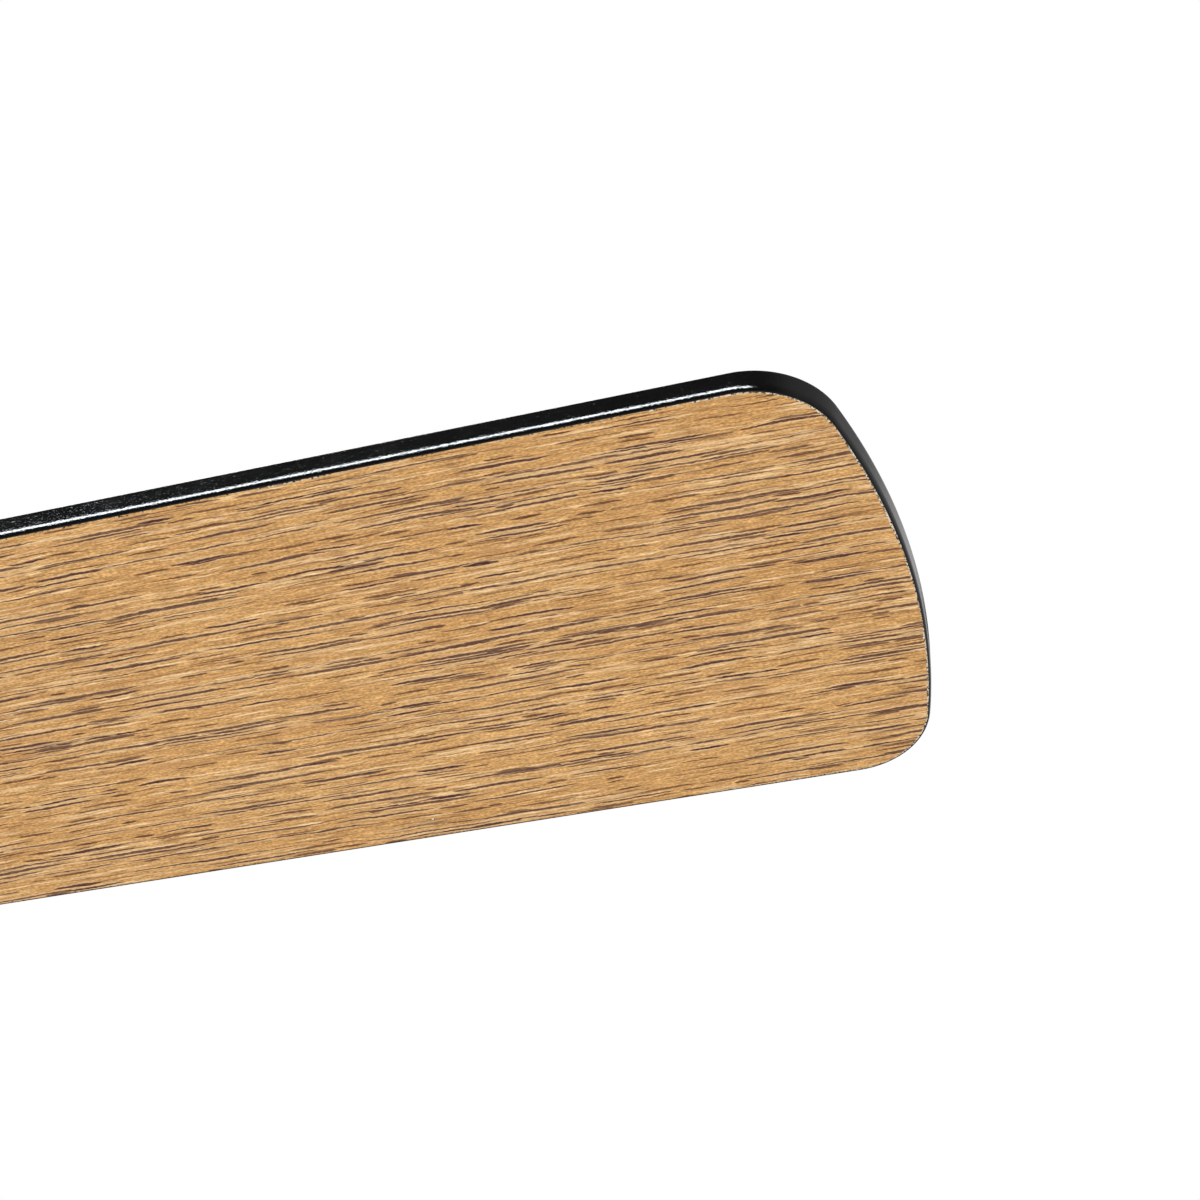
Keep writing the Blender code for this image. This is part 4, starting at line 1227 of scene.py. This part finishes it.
class PROPELLER_OT_bells(Operator):
    """Turns the two bells of the motor's case, with their vents and the lower bell's drilling"""

    bl_idname = "propeller.bells"
    bl_label = "Motor bells"

    def execute(self, context):
        vents = context.scene.propeller_hub.vent_count
        middle = moved(0, 0, motor_z)
        start = [(23.3, 27.6), (25.6, 26.6)]
        crown = start + [(30.8, 22.0), (64, 21.6), (85, 18.5), (91.5, 13.6), (95, 9.5)]
        upper = bell_mesh("upper_case", crown, vents)
        upper.transform(middle)
        fitted("upper_case", upper, "black_casting", ["upper_bell"])
        drills = []
        for number in BLADES:
            for x, y in HUB_SCREWS:
                place = spoke_turn(number) @ moved(x, y, 0)
                drills.append(rod(HUB_HOLE, 15.8 * MM, 26 * MM, 20, place))
        crown = start + [(30.8, 21), (61, 21), (64, 24), (90, 24), (95, 19)]
        lower = bell_mesh("lower_case", crown, vents, merged("drills", drills))
        lower.transform(middle @ turned(pi, "X"))
        fitted("lower_case", lower, "black_casting", ["lower_bell"])
        return {"FINISHED"}


class PROPELLER_OT_case_fixings(Operator):
    """Sets the screws that hold the bells together, and the ribs between the upper bell's vents"""

    bl_idname = "propeller.case_fixings"
    bl_label = "Case screws and ribs"

    def execute(self, context):
        vents = context.scene.propeller_hub.vent_count
        screw = screw_template(1.8 * MM, 5.0 * MM, 3.3 * MM, 1.9 * MM)
        between_blades = turned(BLADE_STEP / 2)
        seats = seats_at(CASE_SCREWS, between_blades, motor_z + 20.6 * MM, -1)
        seated("case_screws", screw, seats, "black_screw", 11)
        ribs = []
        for i in range(vents):
            rib = rib_mesh()
            turn = turned(tau * i / vents)
            rib.transform(turn @ moved(RIB_MIDDLE, 0, motor_z + 21.9 * MM))
            ribs.append(rib)
        fitted("case_ribs", crisp(merged("case_ribs", ribs), 60.0), "black_casting")
        return {"FINISHED"}


# Spindle, yoke, plate and nut


def threaded_sleeve(name, radius, bore, bottom, top, thread_top, pitch, depth, sides=64):
    """A hollow shaft with a helical thread from its bottom up to thread_top."""
    rings = [
        level(bore, top, sides),
        level(bore, bottom + 0.4 * MM, sides),
        level(bore + 0.4 * MM, bottom, sides),
        level(radius - depth - 0.3 * MM, bottom, sides),
    ]
    rows = int((thread_top - bottom) / (pitch / 6))
    for k in range(1, rows):
        z = bottom + (thread_top - bottom) * k / rows
        ring = []
        for i in range(sides):
            angle = tau * i / sides
            phase = (z / pitch - angle / tau) % 1.0
            crest = 1 - abs(2 * phase - 1)
            ends = min(1.0, (z - bottom) / pitch, (thread_top - z) / (pitch / 2))
            r = radius - depth * (1 - crest * max(ends, 0.0))
            if thread_top - z < pitch / 2:
                r = max(r, radius - depth * (thread_top - z) / (pitch / 2))
            ring.append((r * cos(angle), r * sin(angle), z))
        rings.append(ring)
    rings += [
        level(radius, thread_top, sides),
        level(radius, top - 0.5 * MM, sides),
        level(radius - 0.5 * MM, top, sides),
    ]
    return skinned(name, rings, close=True)


class PROPELLER_OT_spindle(Operator):
    """Turns the hollow spindle, with its collar and the thread for its nut"""

    bl_idname = "propeller.spindle"
    bl_label = "Spindle"

    def execute(self, context):
        low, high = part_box("spindle")
        radius, bore, thread = 8.5 * MM, 4.5 * MM, (low.z + 16 * MM, 1.25 * MM, 0.55 * MM)
        shaft = threaded_sleeve("spindle_shaft", radius, bore, low.z, high.z, *thread)
        profile = softened([(8.3, -12), (11.9, -12), (11.9, 12), (8.3, 12)], 0.5, 3)
        collar = lathe("collar", in_mm(profile), 64, place=moved(0, 0, motor_z))
        shaft = crisp(combined(shaft, collar, "UNION"), 30.0)
        fitted("spindle_shaft", shaft, "shaft_steel", ["spindle"], "spindle_frame")
        return {"FINISHED"}


class PROPELLER_OT_yoke(Operator):
    """Turns the yoke, with its socket for the downrod and its cross-pin holes"""

    bl_idname = "propeller.yoke"
    bl_label = "Downrod yoke"

    def execute(self, context):
        nose = height_of("downrod_yoke", False) / MM
        bottom = YOKE_BOTTOM / MM
        profile = [(9.825, 0), (9.825, -26), (8.8, -26), (8.8, nose), (11.5, nose), (11.5, bottom)]
        profile += [(14.5, bottom), (16.025, bottom + 1.5), (16.025, -25), (15.3, -24.4)]
        profile += [(15.3, -22.6), (16.025, -22), (16.025, -1.5), (14.5, 0)]
        yoke = lathe("yoke", softened(in_mm(profile), 0.45 * MM, 3), 96)
        lying = moved(0, 0, PIN_HEIGHT) @ turned(pi / 2, "X")
        yoke = combined(yoke, rod(PIN_RADIUS, -20 * MM, 20 * MM, 40, lying))
        yoke = bevelled(yoke, "yoke", 0.3 * MM, 55)
        fitted("yoke", yoke, "black_casting", ["downrod_yoke"], "spindle_frame")
        return {"FINISHED"}


class PROPELLER_OT_cap_plate(Operator):
    """Presses the fixed plate under the motor and turns the nut that holds it"""

    bl_idname = "propeller.cap_plate"
    bl_label = "Cap plate and nut"

    def execute(self, context):
        base, top = (corner.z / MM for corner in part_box("cap_plate"))
        profile = [(8.8, top), (8.8, base), (38, base), (39.5, base), (42, base), (42, base + 3)]
        profile += [(11.5, base + 3), (11.5, top)]
        disc = lathe("plate", softened(in_mm(profile), 0.6 * MM, 3), 128)
        drill = in_mm([(0, -2), (2.9, -2), (2.2, 0.35), (2.2, 6), (0, 6)])
        drills = []
        for i in range(PLATE_HOLES):
            angle = tau * (i + 0.5) / PLATE_HOLES
            x, y = PLATE_HOLE_CIRCLE * cos(angle), PLATE_HOLE_CIRCLE * sin(angle)
            place = moved(x, y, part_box("cap_plate")[0].z)
            drills.append(lathe("drill", drill, 24, ring=False, place=place))
        disc = crisp(combined(disc, merged("drills", drills)), 30.0)
        fitted("plate", disc, "zinc_plate", ["cap_plate"], "spindle_frame")
        base, top = (corner.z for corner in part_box("spindle_nut"))
        block = slab("nut", circle(12 * MM / cos(pi / 6), 6), base, top)
        rim, crown, chamfer = 13.9 * MM, 12.1 * MM, 0.9 * MM
        dome = [(0, base), (crown, base), (rim, base + chamfer)]
        dome += [(rim, top - chamfer), (crown, top), (0, top)]
        nut = combined(block, lathe("dome", dome, 96, ring=False), "INTERSECT")
        nut = crisp(combined(nut, rod(8.8 * MM, base - 1 * MM, base + 9 * MM, 64)), 25.0)
        fitted("hex_nut", nut, "zinc_plate", ["spindle_nut"], "spindle_frame")
        return {"FINISHED"}


class PROPELLER_OT_motor(Operator):
    """Finishes the stator, its coils, the rotor ring and the bearings inside the case"""

    bl_idname = "propeller.motor"
    bl_label = "Motor inside"

    def execute(self, context):
        refinish("stator_core", "laminations")
        refinish("rotor_ring", "laminations")
        refinish("stator_winding", "copper_wire")
        for side in ("upper", "lower"):
            for part in ("inner_ring", "outer_ring", "ball_cage"):
                refinish(f"{side}_bearing_{part}", "bearing_steel")
        return {"FINISHED"}


# Stage


def area_light(name, place, target, size, watts, tint):
    data = bpy.data.lights.new(name, "AREA")
    data.shape = "RECTANGLE"
    data.size, data.size_y = size
    data.energy = watts
    data.color = tint
    lamp = linked(name, data)
    lamp.location = place
    lamp.rotation_euler = (Vector(target) - Vector(place)).to_track_quat("-Z", "Y").to_euler()
    lamp.visible_camera = False


def sky():
    """White to the eye. Reflections see a glow beyond the tip on a dim surround, which is dark
    towards the near side and where the camera looks on past the blade."""
    world = bpy.data.worlds.new("studio")
    bpy.context.scene.world = world
    world.use_nodes = True
    tree = world.node_tree
    tree.nodes.clear()
    way = node("ShaderNodeTexCoord", tree=tree)["Generated"]

    def lobe(direction, low, high):
        towards = vector_maths("DOT_PRODUCT", way, direction, "Value")
        return span(towards, low, high, smooth=True)

    glow = lobe(*GLOW_BEYOND) * 0.38 + (1.0 - lobe(*SHADE_NEAR)) * 0.29
    glow = glow * (1.0 - lobe(*SHADE_BEHIND)) + 0.02
    around = node("ShaderNodeBackground", {"Color": (*WHITE, 1.0), "Strength": glow})
    seen = node("ShaderNodeBackground", {"Color": (*WHITE, 1.0), "Strength": 1.0}, tree)
    eye = node("ShaderNodeLightPath", tree=tree)["Is Camera Ray"]
    both = node("ShaderNodeMixShader", {0: eye, 1: around[0], 2: seen[0]})
    node("ShaderNodeOutputWorld", {"Surface": both[0]})


def pale_floor(settings, reach=40.0):
    """A wide floor that gives a little light of its own, to the eye only."""
    mesh = bpy.data.meshes.new("floor")
    corners = [(-reach, -reach), (reach, -reach), (reach, reach), (-reach, reach)]
    mesh.from_pydata([(x, y, settings.floor_drop) for x, y in corners], [], [(0, 1, 2, 3)])
    made, shader = new_material("pale_floor", Roughness=0.8)
    eye = node("ShaderNodeLightPath", tree=shader.id_data)["Is Camera Ray"]
    feed(shader, {"Base Color": rgba(settings.floor), "Emission Color": rgba(WHITE)})
    feed(shader, {"Emission Strength": eye * 0.45})
    mesh.materials.append(made)
    return linked("floor", mesh)


class PROPELLER_OT_stage(Operator):
    """Sets the pale floor, the soft lights and the camera"""

    bl_idname = "propeller.stage"
    bl_label = "Stage"

    def execute(self, context):
        settings = context.scene.propeller_stage
        pale_floor(settings)
        sky()
        under, over = (0.35, -1.3, -1.9), (-0.5, 0.3, 2.3)
        area_light("under_light", under, (0.4, 0, -0.1), (2.6, 2.0), settings.under_light, WHITE)
        area_light("top_light", over, (0.0, 0, -0.1), (1.8, 1.8), settings.top_light, WHITE)
        edge = Vector((tip_radius, 0.0, board.translation.z)) + Vector((-0.25, 0, 0))
        place = edge + Vector(STRIP_WAY).normalized() * STRIP_DISTANCE
        pale_blue = (0.9, 0.95, 1.0)
        area_light("strip_light", place, edge, (1.8, 0.26), settings.strip_light, pale_blue)
        data = bpy.data.cameras.new("camera")
        data.lens = settings.focal_length
        data.sensor_width = 36.0
        data.clip_start = 0.01
        camera = linked("camera", data)
        turned_to = Matrix(CAMERA_AXES).transposed().to_4x4()
        camera.matrix_world = Matrix.Translation(EYE) @ turned_to
        context.scene.camera = camera
        context.scene.view_settings.view_transform = "Standard"
        return {"FINISHED"}


# Panel, registration and the order of work


ORDER = (
    PROPELLER_OT_oak_faces,
    PROPELLER_OT_edge_films,
    PROPELLER_OT_irons,
    PROPELLER_OT_blade_fixings,
    PROPELLER_OT_hub_fixings,
    PROPELLER_OT_bells,
    PROPELLER_OT_case_fixings,
    PROPELLER_OT_spindle,
    PROPELLER_OT_yoke,
    PROPELLER_OT_cap_plate,
    PROPELLER_OT_motor,
    PROPELLER_OT_stage,
)
SETTINGS = (
    ("propeller_blade", BladeSettings),
    ("propeller_hub", HubSettings),
    ("propeller_stage", StageSettings),
)


class PROPELLER_PT_panel(Panel):
    """Lists the settings and the operators"""

    bl_idname = "PROPELLER_PT_panel"
    bl_label = "Propeller"
    bl_space_type = "VIEW_3D"
    bl_region_type = "UI"
    bl_category = "Propeller"

    def draw(self, context):
        for name, group in SETTINGS:
            box = self.layout.box()
            for key in group.__annotations__:
                box.prop(getattr(context.scene, name), key)
        for operator in ORDER:
            self.layout.operator(operator.bl_idname)


CLASSES = (*(group for name, group in SETTINGS), *ORDER, PROPELLER_PT_panel)


def register():
    for item in CLASSES:
        bpy.utils.register_class(item)
    for name, group in SETTINGS:
        setattr(bpy.types.Scene, name, PointerProperty(type=group))


def unregister():
    for name, group in SETTINGS:
        delattr(bpy.types.Scene, name)
    for item in reversed(CLASSES):
        bpy.utils.unregister_class(item)


def main():
    register()
    for operator in ORDER:
        family, action = operator.bl_idname.split(".")
        getattr(getattr(bpy.ops, family), action)()


if __name__ == "__main__":
    main()
